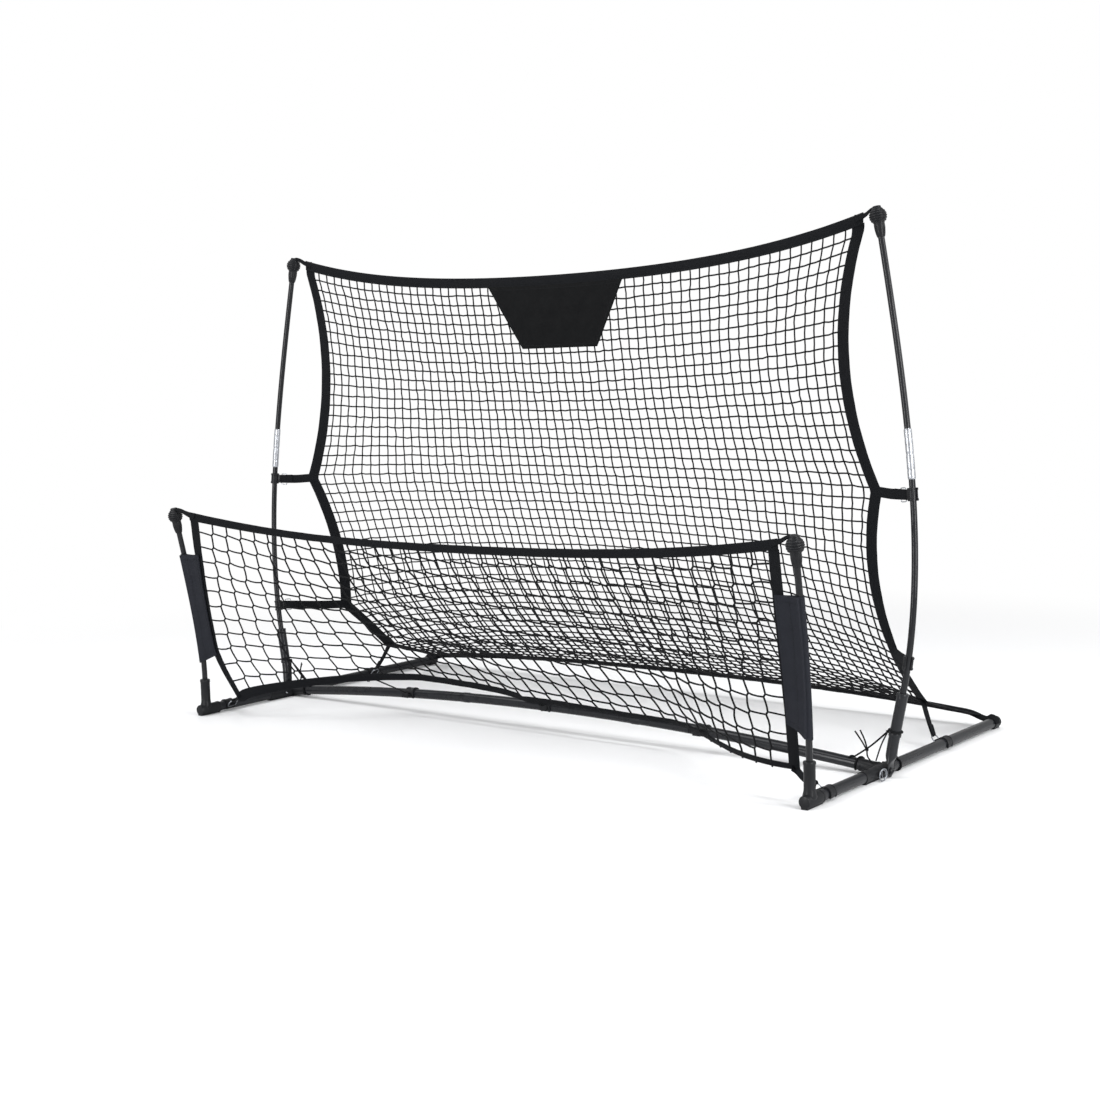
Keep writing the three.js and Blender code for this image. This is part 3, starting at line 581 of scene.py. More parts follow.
class Finish:
    """A material under construction: a Principled shader with short ways to add texture."""

    def __init__(self, name, base, roughness, metallic=0.0, **sockets):
        self.material = bpy.data.materials.new(name)
        self.material.use_nodes = True
        self.nodes = self.material.node_tree.nodes
        self.links = self.material.node_tree.links
        self.shader = self.nodes["Principled BSDF"]
        self.base = base
        self.set("Base Color", base)
        self.set("Roughness", roughness)
        self.set("Metallic", metallic)
        for key, value in sockets.items():
            self.set(key.replace("_", " "), value)
        self.material.diffuse_color = base

    def set(self, socket, value):
        self.shader.inputs[socket].default_value = value

    def node(self, kind, inputs=None, **settings):
        made = self.nodes.new(kind)
        for key, value in settings.items():
            setattr(made, key, value)
        for key, value in (inputs or {}).items():
            if isinstance(value, bpy.types.NodeSocket):
                self.links.new(value, made.inputs[key])
            else:
                made.inputs[key].default_value = value
        return made

    def coordinates(self, kind, stretch_by=(1, 1, 1), turn=0.0):
        source = self.node("ShaderNodeTexCoord").outputs[kind]
        mapping = self.node("ShaderNodeMapping", {"Vector": source})
        mapping.inputs["Scale"].default_value = stretch_by
        mapping.inputs["Rotation"].default_value = (0, 0, turn)
        return mapping.outputs["Vector"]

    def noise(self, vector, scale, detail=3.0, roughness=0.55):
        inputs = {"Vector": vector, "Scale": scale, "Detail": detail, "Roughness": roughness}
        return self.node("ShaderNodeTexNoise", inputs).outputs["Fac"]

    def bands(self, vector, pitch, direction, distortion=0.0):
        """A wave that repeats every pitch metres along X or Y."""
        inputs = {"Vector": vector, "Scale": 0.31416 / pitch, "Distortion": distortion}
        wave = self.node("ShaderNodeTexWave", inputs, wave_type="BANDS", bands_direction=direction)
        return wave.outputs["Fac"]

    def math(self, operation, first, second):
        return self.node("ShaderNodeMath", {0: first, 1: second}, operation=operation).outputs[0]

    def spread(self, value, low, high):
        inputs = {"Value": value, "To Min": low, "To Max": high, "From Min": 0.25, "From Max": 0.75}
        return self.node("ShaderNodeMapRange", inputs).outputs["Result"]

    def vary_roughness(self, value, low, high):
        self.links.new(self.spread(value, low, high), self.shader.inputs["Roughness"])

    def vary_colour(self, value, lighter):
        """Mixes the base colour towards lighter times itself where value is high."""
        mixed = self.node("ShaderNodeMix", {"Factor": self.spread(value, 0.0, 1.0)}, data_type="RGBA")
        mixed.inputs[6].default_value = self.base
        mixed.inputs[7].default_value = tuple(min(1, c * lighter) for c in self.base[:3]) + (1,)
        self.links.new(mixed.outputs[2], self.shader.inputs["Base Color"])

    def bump(self, *layers):
        """Each layer is (height, strength, depth in metres)."""
        normal = None
        for height, strength, depth in layers:
            inputs = {"Height": height, "Strength": strength, "Distance": depth}
            if normal is not None:
                inputs["Normal"] = normal
            normal = self.node("ShaderNodeBump", inputs).outputs["Normal"]
        self.links.new(normal, self.shader.inputs["Normal"])
        return self.material


def powder_coat(base):
    """Satin black powder coat: fine orange peel, faint handling marks."""
    made = Finish("powder_coated_steel", base, 0.4, 0.0, Specular_IOR_Level=0.06, Coat_Weight=0.32,
                  Coat_Roughness=0.13)
    plain = made.coordinates("Object")
    marks = made.noise(made.coordinates("Object", (1, 0.25, 1)), 26, 6, 0.65)
    made.vary_roughness(marks, 0.22, 0.36)
    made.vary_colour(marks, 1.7)
    return made.bump((made.noise(plain, 900, 2), 0.22, 0.0002), (made.noise(plain, 60, 2), 0.08, 0.001))


def moulded_plastic(base):
    """Moulded nylon with a spark-eroded grain."""
    made = Finish("moulded_black_plastic", base, 0.5, 0.0, Specular_IOR_Level=0.08, Coat_Weight=0.15,
                  Coat_Roughness=0.25)
    plain = made.coordinates("Object")
    made.vary_roughness(made.noise(plain, 40, 4), 0.42, 0.58)
    made.vary_colour(made.noise(plain, 18, 4), 1.8)
    grain, ripple = made.noise(plain, 1500, 2, 0.7), made.noise(plain, 260, 3)
    return made.bump((grain, 0.35, 0.00025), (ripple, 0.1, 0.0004))


def glass_fibre(base):
    """A drawn rod: glossy resin over fibres that run lengthwise."""
    made = Finish("glass_fibre_rod", base, 0.3, 0.0, Specular_IOR_Level=0.05, Coat_Weight=0.32,
                  Coat_Roughness=0.08)
    fibres = made.noise(made.coordinates("Object", (1, 1, 0.02)), 800, 4, 0.6)
    made.vary_roughness(fibres, 0.2, 0.36)
    made.vary_colour(fibres, 2.2)
    return made.bump((fibres, 0.12, 0.0002))


def drawn_steel(base):
    """A bright drawn sleeve with fine lengthwise lines and dull patches."""
    made = Finish("drawn_steel", base, 0.3, 1.0)
    lines = made.noise(made.coordinates("Object", (1, 1, 0.03)), 1400, 5, 0.7)
    patches = made.noise(made.coordinates("Object"), 55, 4)
    half_lines, half_patches = made.math("MULTIPLY", lines, 0.5), made.math("MULTIPLY", patches, 0.5)
    made.vary_roughness(made.math("ADD", half_lines, half_patches), 0.22, 0.5)
    made.vary_colour(patches, 1.35)
    return made.bump((lines, 0.2, 0.0002))


def zinc_plate(base):
    made = Finish("zinc_plated_wire", base, 0.28, 1.0)
    plain = made.coordinates("Object")
    made.vary_roughness(made.noise(plain, 180, 4), 0.2, 0.42)
    made.vary_colour(made.noise(plain, 90, 3), 1.2)
    return made.bump((made.noise(plain, 700, 3), 0.15, 0.0002))


def woven(name, base, rib, thread, roughness=0.82, depth=0.0005, lighter=1.9):
    """Woven cloth or webbing: ribs across and threads along, with soft patches where it has been handled."""
    made = Finish(name, base, roughness, 0.0, Specular_IOR_Level=0.09)
    cloth = made.coordinates("UV")
    ribs = made.bands(cloth, rib, "Y", 0.6)
    threads = made.bands(cloth, thread, "X", 0.3)
    weave = made.math("MULTIPLY", ribs, threads)
    fluff = made.noise(made.coordinates("Object"), 45, 5, 0.6)
    woven_part, fluffy_part = made.math("MULTIPLY", weave, 0.55), made.math("MULTIPLY", fluff, 0.5)
    made.vary_colour(made.math("ADD", woven_part, fluffy_part), lighter)
    made.vary_roughness(fluff, roughness - 0.1, min(1.0, roughness + 0.1))
    return made.bump((weave, 0.75, depth), (fluff, 0.25, 0.0015))


def twisted(name, base, pitch, girth):
    """Twine or cord whose strands wind round it."""
    made = Finish(name, base, 0.62, 0.0, Specular_IOR_Level=0.08)
    lay = made.coordinates("UV", (1, girth / pitch, 1), math.radians(45))
    strands = made.bands(lay, girth / 3.0 * 0.7071, "X")
    made.vary_colour(strands, 2.4)
    made.vary_roughness(made.noise(made.coordinates("Object"), 220, 3), 0.5, 0.75)
    return made.bump((strands, 0.8, 0.0005))


def floor_finish(base):
    """A pale studio floor that fades to plain white far from the object."""
    made = Finish("studio_floor", base, 0.55)
    place = made.coordinates("Object")
    made.vary_roughness(made.noise(place, 3, 4), 0.45, 0.6)
    distance = made.node("ShaderNodeVectorMath", {0: place}, operation="LENGTH").outputs["Value"]
    inputs = {"Value": distance, "From Min": 1.5, "From Max": 3.3, "To Min": 0.0, "To Max": 1.0}
    fade = made.node("ShaderNodeMapRange", inputs, interpolation_type="SMOOTHSTEP").outputs["Result"]
    white = made.node("ShaderNodeEmission", {"Color": (1, 1, 1, 1), "Strength": 1.0}).outputs[0]
    mixed = made.node("ShaderNodeMixShader", {0: fade, 1: made.shader.outputs[0], 2: white}).outputs[0]
    made.links.new(mixed, made.nodes["Material Output"].inputs["Surface"])
    return made.material


_finishes = {}


def finish(name):
    """The named finish, made once from the settings."""
    if name not in _finishes:
        scene = bpy.context.scene
        hard, soft, nets = scene.rebound_frame, scene.rebound_fabric, scene.rebound_nets
        panel, sleeve, twine = tuple(soft.panel_colour), tuple(soft.sleeve_colour), tuple(nets.twine_colour)
        makers = {
            "steel": lambda: powder_coat(tuple(hard.steel_colour)),
            "plastic": lambda: moulded_plastic(tuple(hard.plastic_colour)),
            "rod": lambda: glass_fibre(tuple(hard.rod_colour)),
            "ferrule": lambda: drawn_steel(tuple(hard.ferrule_colour)),
            "zinc": lambda: zinc_plate(tuple(hard.zinc_colour)),
            "webbing": lambda: woven("polyester_webbing", tuple(soft.webbing_colour), 0.0017, 0.0011),
            "panel": lambda: woven("coated_panel_cloth", panel, 0.0009, 0.0009, 0.7, 0.0003, 1.6),
            "sleeve": lambda: woven("sleeve_cloth", sleeve, 0.0010, 0.0010, 0.8, 0.0003, 1.5),
            "thread": lambda: twisted("sewing_thread", tuple(soft.thread_colour), 0.0012, 0.0025),
            "cord": lambda: twisted("braided_cord", twine, 0.006, math.pi * soft.cord),
            "rear_twine": lambda: twisted("tall_net_twine", twine, 0.008, math.pi * nets.rear_twine),
            "front_twine": lambda: twisted("front_net_twine", twine, 0.01, math.pi * nets.front_twine),
        }
        _finishes[name] = makers[name]()
    return _finishes[name]


def finishes(*names):
    return [finish(n) for n in names]


# ---- rails, tees, brackets and plugs ----------------------


def add_sleeve(shape, y0, y1, radius=None, lip=0.0, sides=48):
    """A moulded sleeve round a rail: rounded ends, with a raised lip at each if one is asked for."""
    radius = radius or SLEEVE_R
    edge = 0.0012
    if lip:
        rim = 0.005
        profile = [
            (radius - 0.004, y0), (radius + lip - edge, y0), (radius + lip, y0 + edge),
            (radius + lip, y0 + rim),
            (radius, y0 + rim + edge), (radius, y1 - rim - edge), (radius + lip, y1 - rim),
            (radius + lip, y1 - edge), (radius + lip - edge, y1), (radius - 0.004, y1),
        ]
    else:
        profile = [(radius - 0.004, y0), (radius - edge, y0), (radius, y0 + edge), (radius, y1 - edge),
                   (radius - edge, y1), (radius - 0.004, y1)]
    return add_turned(shape, profile, (RAIL_X, 0, RAIL_Z), (0, 1, 0), sides)


def add_foot(shape, y0, y1):
    half = 0.009
    return add_block(shape, (RAIL_X - half, y0 + 0.001, 0.0), (RAIL_X + half, y1 - 0.001, 0.007), 0.0015)


def rebound_side_rails():
    sides = bpy.context.scene.rebound_frame.round_sides
    for side, sign in SIDES:
        front = add_tube(Shape(), rail(TEE[0].y + 0.008, -0.14, 20), TUBE_R, sides)
        rear = add_tube(Shape(), rail(-0.094, PLUG[1].y - 0.006, 30), TUBE_R, sides)
        for end, shape in (("front", front), ("rear", rear)):
            made = shape.mirrored(sign).build(f"{end}_rail_{side}", finishes("steel"))
            place_piece(made, "base", "black_steel", f"side_tube_{end}_{side}")


def rebound_end_plugs():
    for side, sign in SIDES:
        y0, y1 = PLUG[0].y, PLUG[1].y
        shape = Shape()
        profile = [
            (SLEEVE_R - 0.0025, y0), (SLEEVE_R - 0.001, y0), (SLEEVE_R, y0 + 0.001), (SLEEVE_R, y0 + 0.026),
            (SLEEVE_R - 0.0008, y0 + 0.027), (SLEEVE_R - 0.0008, y0 + 0.029), (SLEEVE_R, y0 + 0.030),
            (SLEEVE_R, y1 - 0.004), (SLEEVE_R - 0.0015, y1 - 0.0012), (SLEEVE_R - 0.004, y1),
            (SLEEVE_R - 0.008, y1), (SLEEVE_R - 0.0085, y1 - 0.0008), (0.0, y1 - 0.0008),
        ]
        add_turned(shape, profile, (RAIL_X, 0, RAIL_Z), (0, 1, 0))
        add_foot(shape, y0, y1)
        made = shape.mirrored(sign).build(f"end_plug_{side}", finishes("plastic"))
        place_piece(made, "base", "black_plastic", f"rear_end_plug_{side}")


def rebound_front_tees():
    for side, sign in SIDES:
        y0, y1 = TEE[0].y, TEE[1].y
        shape = add_foot(Shape(), y0, y1)
        r = SLEEVE_R
        profile = [(0.0, y0), (r - 0.005, y0), (r - 0.0018, y0 + 0.001), (r, y0 + 0.004), (r, y1 - 0.007),
                   (r + 0.0009, y1 - 0.006), (r + 0.0009, y1 - 0.001), (r, y1), (TUBE_R + 0.0005, y1),
                   (TUBE_R + 0.0002, y1 - 0.004)]
        add_turned(shape, profile, (RAIL_X, 0, RAIL_Z), (0, 1, 0))
        top = TEE[1].z
        socket = [(0.0145, 0.018), (0.0175, 0.026), (0.0160, 0.033), (0.0146, 0.039), (0.0140, 0.046),
                  (0.0140, top - 0.009), (0.0150, top - 0.0075), (0.0150, top - 0.002), (0.0142, top),
                  (POLE_R + 0.0012, top), (POLE_R + 0.0006, top - 0.003)]
        add_turned(shape, socket, (RAIL_X, TEE_Y, 0), (0, 0, 1))
        made = shape.mirrored(sign).build(f"tee_{side}", finishes("plastic"))
        place_piece(made, "base", "black_plastic", f"front_tee_{side}")


def rebound_junction_brackets():
    for side, sign in SIDES:
        y0, y1 = BRACKET[0].y, BRACKET[1].y
        shape = add_foot(Shape(), y0, y1)
        add_sleeve(shape, y0, y1, SLEEVE_R - 0.0006)
        for start, end in ((y0, y0 + 0.012), (y1 - 0.010, y1), (-0.143, -0.090)):
            add_sleeve(shape, start, end, SLEEVE_R)
        slope = 2 * CROSSBAR_RISE / RAIL_X
        axis = unit((-1, 0, slope))
        reach = (RAIL_X - STUB_END_X) / -axis[0]
        r = SLEEVE_R
        profile = [(r - 0.001, 0.0), (r + 0.0015, 0.012), (r, 0.020), (r - 0.0004, reach - 0.009),
                   (r + 0.0008, reach - 0.008), (r + 0.0008, reach - 0.001), (r, reach),
                   (TUBE_R + 0.0005, reach), (TUBE_R + 0.0002, reach - 0.004)]
        add_turned(shape, profile, (RAIL_X, CROSSBAR_Y, RAIL_Z), axis)
        # Rivets on top of the sleeve and a boss for the pin.
        rivets = [(RAIL_X - 0.004, y, RAIL_Z + SLEEVE_R - 0.0004) for y in (-0.208, -0.186, -0.124, -0.100)]
        half = np.diag((0.0042, 0.0042, 0.0022))
        add_beads(shape, rivets, np.repeat(half[None], len(rivets), 0))
        boss = [(0.0085, 0.0), (0.0085, 0.0165), (0.0078, 0.0175), (0.0038, 0.0175)]
        add_turned(shape, boss, (RAIL_X, PIN_Y, RAIL_Z), (1, 0, 0), 32)
        made = shape.mirrored(sign).build(f"bracket_{side}", finishes("plastic"))
        place_piece(made, "base", "black_plastic", f"junction_bracket_{side}")


def place_piece(made, body, slot, *nodes):
    """Puts a piece on its body and hides the plain nodes that it stands for; its slot is not used."""
    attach(made, body)
    label_piece(made, slot, *nodes)


def bend_piece(made, a, b, start, end, slot, *nodes):
    """Bakes the placement of cloth or cord into its points and hides the plain nodes that it stands for; the
    two bodies are not used.
    """
    tuple(start)
    tuple(end)
    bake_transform(made)
    label_piece(made, slot, *nodes)


def label_piece(made, slot, *nodes):
    if nodes:
        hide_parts(*nodes)


# ---- crossbar and its clips -------------------------------


def rebound_crossbar():
    sides = bpy.context.scene.rebound_frame.round_sides
    joint = CROSSBAR_JOINT_X
    for side, sign in SIDES:
        shape = add_tube(Shape(), crossbar_points(joint + 0.0004, 1.016), TUBE_R, sides)
        made = shape.mirrored(sign).build(f"crossbar_{side}_section", finishes("steel"))
        place_piece(made, "base", "black_steel", f"crossbar_{side}")
    centre = add_tube(Shape(), crossbar_points(-joint, joint), TUBE_R, sides)
    # A swaged collar marks each end of the middle section.
    for end in (-joint, joint):
        inner = end - math.copysign(0.034, end)
        radii = TUBE_R + 0.0011 * np.array((0.0, 1.0, 1.0, 1.0, 0.6, 0.0))
        path = crossbar_points(min(inner, end), max(inner, end), 6)
        add_tube(centre, path, radii if end > 0 else radii[::-1], sides)
        spring_button = crossbar_points(inner, inner + 1e-3, 2)[0] - point(0, TUBE_R, 0)
        add_beads(centre, [spring_button], [np.diag((0.003, 0.0022, 0.003))])
    made = centre.build("crossbar_middle_section", finishes("steel"))
    place_piece(made, "base", "black_steel", "crossbar_centre")


def clip_outline(bore, outer, opening, count=40):
    """A C-shaped outline, open at the bottom, with rounded lips: round the outside and back inside."""
    half = opening / 2
    angle = np.linspace(-math.pi / 2 + half, 1.5 * math.pi - half, count)
    outside = np.stack((np.cos(angle), np.sin(angle)), -1) * outer
    inside = np.stack((np.cos(angle[::-1]), np.sin(angle[::-1])), -1) * bore
    middle = (bore + outer) / 2

    def lip(at, start):
        centre = np.array((math.cos(at), math.sin(at))) * middle
        arc = start + np.linspace(0.25, math.pi - 0.25, 7)
        return centre + np.stack((np.cos(arc), np.sin(arc)), -1) * (outer - bore) / 2

    return np.concatenate((outside, lip(angle[-1], angle[-1]), inside, lip(angle[0], angle[0] + math.pi)))


def add_clip(shape, place, axis, up, bore, outer, width, opening, ridge):
    """A snap clip round an axis, with a raised ridge at each end of its width."""
    axis, up = unit(axis), np.asarray(up, float)
    stations = [(-0.5, 0.0), (-0.46, ridge), (-0.34, ridge), (-0.30, 0.0),
                (0.30, 0.0), (0.34, ridge), (0.46, ridge), (0.5, 0.0)]
    outlines, path = [], []
    for along, extra in stations:
        outlines.append(clip_outline(bore, outer + extra, opening))
        path.append(np.asarray(place, float) + axis * along * width)
    return add_sweep(shape, np.array(path), np.array(outlines), up=up)


def rebound_hem_clips():
    bore, outer, width = TUBE_R + 0.0003, 0.0178, 0.034
    for place, x, sign in (("centre", 0.0, 1.0), ("right", HEM_CLIP_X, 1.0), ("left", HEM_CLIP_X, -1.0)):
        node = f"hem_clip_{place}"
        z = crossbar_height(x)
        slope = -2 * CROSSBAR_RISE * x / RAIL_X**2
        shape = Shape()
        add_clip(shape, (x, CROSSBAR_Y, z), (1, 0, slope), (0, -slope, 1), bore, outer, width, 1.7, 0.0010)
        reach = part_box(node)[0].y + 0.001
        add_block(shape, (x - 0.012, reach, z - 0.006), (x + 0.012, CROSSBAR_Y - 0.0155, z + 0.001), 0.0014)
        add_block(shape, (x - 0.013, reach - 0.001, z - 0.008), (x + 0.013, reach + 0.003, z + 0.007), 0.0012)
        screw = [(0.0, 0.0), (0.0035, 0.0), (0.0042, 0.0006), (0.0042, 0.0016), (0.0, 0.0016)]
        for dx in (-0.007, 0.007):
            add_turned(shape, screw, (x + dx, reach - 0.0002, z), (0, -1, 0), 20)
        made = shape.mirrored(sign).build(f"{node}_moulding", finishes("plastic"))
        place_piece(made, "base", "black_plastic", node)


# ---- pivots and pins --------------------------------------


def rebound_pivot_bolts():
    for side, sign in SIDES:
        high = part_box("pivot_bolt_right")[1]
        x0, x1 = 1.065, high.x
        shape = add_tube(Shape(), line((1.037, PIVOT.y, RAIL_Z), (x0, PIVOT.y, RAIL_Z)), 0.004, 24)
        washer = [(0.0, x0), (0.0098, x0), (0.0100, x0 + 0.0004), (0.0098, x0 + 0.0014), (0.0, x0 + 0.0014)]
        add_turned(shape, washer, (0, PIVOT.y, RAIL_Z), (1, 0, 0), 40)
        x = x0 + 0.0014
        dome = [(0.0, x), (0.0074, x), (0.0077, x + 0.0008), (0.0066, x + 0.0028), (0.0044, x1 - 0.0006),
                (0.0034, x1 - 0.0002), (0.0030, x1 - 0.0016), (0.0, x1 - 0.0018)]
        add_turned(shape, dome, (0, PIVOT.y, RAIL_Z), (1, 0, 0), 40)
        made = shape.mirrored(sign).build(f"pivot_{side}", finishes("steel"))
        place_piece(made, "base", "black_steel", f"pivot_bolt_{side}")


def ring_path(centre, across, up, width, height, count=56):
    """Points round an oval in the plane of two directions."""
    angle = np.linspace(0, 2 * math.pi, count, endpoint=False)[:, None]
    sideways = np.cos(angle) * unit(across) * width / 2
    return np.asarray(centre, float) + sideways + np.sin(angle) * unit(up) * height / 2


def rebound_lock_pins():
    """Zinc pins with a wire pull ring and a smaller keeper ring across it."""
    for side, sign in SIDES:
        shape = Shape()
        shank = [(0.0, 1.018), (0.0022, 1.0184), (0.0030, 1.0205), (0.0030, 1.0590), (0.0, 1.0592)]
        add_turned(shape, shank, (0, PIN_Y, RAIL_Z), (1, 0, 0), 32)
        head = [(0.0, 1.0584), (0.0062, 1.0587), (0.0068, 1.0595), (0.0068, 1.0625), (0.0058, 1.0638),
                (0.0040, 1.0640), (0.0038, 1.0672), (0.0, 1.0676)]
        add_turned(shape, head, (0, PIN_Y, RAIL_Z), (1, 0, 0), 32, 1)
        centre = (1.0662, PIN_Y - 0.0030, RAIL_Z - 0.0005)
        big = ring_path(centre, (0.12, 1, 0.35), (0, -0.35, 1), 0.031, 0.029)
        add_tube(shape, big, 0.0014, 12, closed_path=True)
        centre = (1.0668, PIN_Y - 0.001, RAIL_Z + 0.001)
        small = ring_path(centre, (0.25, 1, 0.6), (0, -0.6, 1), 0.014, 0.025, 40)
        add_tube(shape, small, 0.0010, 10, closed_path=True)
        made = shape.mirrored(sign).build(f"lock_pin_{side}", finishes("zinc", "plastic"))
        place_piece(made, f"bar_pin_{side}", "zinc", f"bar_lock_pin_{side}")


# ---- rear frame -------------------------------------------


def rebound_uprights():
    """Steel tubes whose feet are pressed flat for the pivots."""
    sides = bpy.context.scene.rebound_frame.round_sides
    plate = point(1.0615, PIVOT.y, RAIL_Z)
    half_flat, half_wide = 0.003, 0.0150
    for side, sign in SIDES:
        centres, outlines = [], []
        ring = circle(1.0, sides)
        # The round end of the flat, the flat itself, the swell, then the tube.
        for k in range(9):
            angle = -math.pi / 2 + k / 8 * math.pi / 2
            wide = max(0.0012, half_wide * math.cos(angle))
            centres.append(plate + np.array((0, 0, 0.015 * math.sin(angle))))
            outlines.append(squashed(ring, half_flat, wide))
        for share in np.linspace(0.08, 1, 22):
            swell = min(1.0, max(0.0, (share - 0.20) / 0.34))
            swell = swell * swell * (3 - 2 * swell)
            end = UPRIGHT_FOOT + UPRIGHT_AXIS * 0.012
            inward = point(-0.0012, 0, 0) * math.sin(math.pi * share)
            centres.append(plate + (end - plate) * share + inward)
            outlines.append(squashed(ring, half_flat + (TUBE_R - half_flat) * swell,
                                     half_wide + (TUBE_R - half_wide) * swell))
        for reach in np.linspace(0.02, 0.1332, 12):
            centres.append(UPRIGHT_FOOT + UPRIGHT_AXIS * reach)
            outlines.append(ring * TUBE_R)
        centres.append(UPRIGHT_FOOT + UPRIGHT_AXIS * 0.135)
        outlines.append(ring * (TUBE_R - 0.0014))
        centres, outlines = np.array(centres), np.array(outlines)
        x_axis = point(1.0, 0, 0)
        y_axis = point(0, 1.0, 0)
        rings = centres[:, None] + outlines[..., 0:1] * x_axis + outlines[..., 1:2] * y_axis
        faces, places = skin(rings)
        shape = Shape().add(rings, faces, places)
        at = UPRIGHT_FOOT + UPRIGHT_AXIS * 0.026
        collar = [(TUBE_R - 0.001, 0.0), (TUBE_R + 0.0014, 0.0004), (TUBE_R + 0.0018, 0.0015),
                  (TUBE_R + 0.0018, 0.0075), (TUBE_R + 0.0014, 0.0086), (TUBE_R - 0.001, 0.009)]
        add_turned(shape, collar, at, UPRIGHT_AXIS, sides)
        mouth = [(TUBE_R - 0.002, -0.006), (TUBE_R + 0.0006, -0.0055), (TUBE_R + 0.0009, -0.003),
                 (TUBE_R + 0.0004, 0.0), (TUBE_R - 0.0015, 0.0012), (POLE_R + 0.001, 0.0012),
                 (POLE_R, -0.002)]
        add_turned(shape, mouth, UPRIGHT_TOP, UPRIGHT_AXIS, sides)
        made = shape.mirrored(sign).build(f"upright_{side}", finishes("steel"), 50)
        place_piece(made, "rear_frame", "black_steel", f"upright_tube_{side}")


def squashed(ring, half_thick, half_wide):
    """A ring pressed flat: a rounded oblong as thin as half_thick across X."""
    power = 1.0 if half_thick > 0.8 * half_wide else 0.45 + 0.55 * half_thick / half_wide
    shaped = np.sign(ring) * np.abs(ring) ** power
    return shaped * np.array((half_thick, half_wide))


def rebound_poles():
    sides = max(24, bpy.context.scene.rebound_frame.round_sides // 2)
    middle = sum(FERRULE_Z) / 2
    for side, sign in SIDES:
        buried = line(UPRIGHT_TOP - UPRIGHT_AXIS * 0.085, UPRIGHT_TOP, 8)[:-1]
        lower = np.concatenate((buried, stretch(rear_pole, UPRIGHT_TOP[2], middle - 0.001, 48)))
        upper = stretch(rear_pole, middle + 0.001, REAR_POLE_TOP[2], 48)
        foot = line((RAIL_X, TEE_Y, 0.036), FRONT_POLE_BEND, 6)[:-1]
        front = np.concatenate((foot, front_pole(np.linspace(0, 1, 44))))
        for name, path, body, node in (
            ("lower_rod", lower, "rear_frame", "lower_pole"),
            ("upper_rod", upper, "rear_frame", "upper_pole"),
            ("front_rod", front, "base", "front_pole"),
        ):
            shape = add_tube(Shape(), path, POLE_R, sides)
            made = shape.mirrored(sign).build(f"{name}_{side}", finishes("rod"))
            place_piece(made, body, "glass_fibre", f"{node}_{side}")


def rebound_ferrules():
    """Drawn steel sleeves over the rods' joints, crimped in the middle and rolled in at the ends."""
    low, high = FERRULE_Z
    for side, sign in SIDES:
        path = stretch(rear_pole, low, high, 61)
        s = np.linspace(-1, 1, 61)
        radii = 0.0096 - 0.0010 * np.exp(-((s / 0.05) ** 2))
        radii -= 0.0006 * np.exp(-((np.abs(s) - 0.62) / 0.03) ** 2)
        radii -= 0.0013 * np.clip((np.abs(s) - 0.965) / 0.035, 0, 1) ** 2
        shape = add_tube(Shape(), path, radii, 40)
        made = shape.mirrored(sign).build(f"rod_ferrule_{side}", finishes("ferrule"))
        place_piece(made, "rear_frame", "ferrule_steel", f"ferrule_{side}")


def ball_profile(rib_depth):
    """A ball with grooves round it, a fluted neck below and a flat top."""
    ball_r, neck_r = 0.0218, 0.0098
    profile = [(POLE_R, -0.0508), (neck_r - 0.0006, -0.051), (neck_r, -0.0502), (neck_r + 0.0016, -0.036),
               (neck_r + 0.0036, -0.0225)]
    for step in range(49):
        height = -0.0175 + step * (0.0355 / 48)
        radius = math.sqrt(ball_r**2 - height**2)
        groove = (0.5 - 0.5 * math.cos(2 * math.pi * (height + 0.0175) / 0.0058)) ** 2
        inside = abs(height) < 0.0172
        profile.append((radius - (rib_depth * groove if inside else 0.0), height))
    profile += [(0.0110, 0.0192), (0.0104, 0.0200), (0.0, 0.0200)]
    return profile


def rebound_ball_ends():
    profile = ball_profile(bpy.context.scene.rebound_frame.rib_depth)
    step = 1e-3
    for name, place, curve, body, node in (
        ("front_ball", FRONT_POLE_TOP, front_pole, "base", "front_ball_end"),
        ("rear_ball", REAR_POLE_TOP, rear_pole, "rear_frame", "pole_ball_end"),
    ):
        axis = unit(curve(1.0) - curve(1.0 - step))
        for side, sign in SIDES:
            shape = add_turned(Shape(), profile, place, axis, 64)
            # Flutes down the neck.
            helper = unit(np.cross(axis, (0, 1.0, 0)))
            other = np.cross(axis, helper)
            for k in range(14):
                angle = 2 * math.pi * k / 14
                out = helper * math.cos(angle) + other * math.sin(angle)
                start = place - axis * 0.049 + out * 0.0099
                add_tube(shape, line(start, start + axis * 0.025 + out * 0.0032, 5),
                         np.array((0.0002, 0.0008, 0.0009, 0.0009, 0.0003)), 8)
            cap = [(0.0, 0.0198), (0.0098, 0.0198), (0.0104, 0.0205), (0.0104, 0.0228), (0.0096, 0.0240),
                   (0.0, 0.0243)]
            add_turned(shape, cap, place, axis, 40)
            made = shape.mirrored(sign).build(f"{name}_{side}", finishes("plastic"))
            place_piece(made, body, "black_plastic", f"{node}_{side}")


# ---- clamps -----------------------------------------------


def wire_ring(shape, corners, radius, count=72, finish_number=1):
    """A closed wire loop with rounded corners."""
    path = smooth_path(corners, count, closed=True)
    return add_tube(shape, path, radius, 12, closed_path=True, finish=finish_number)


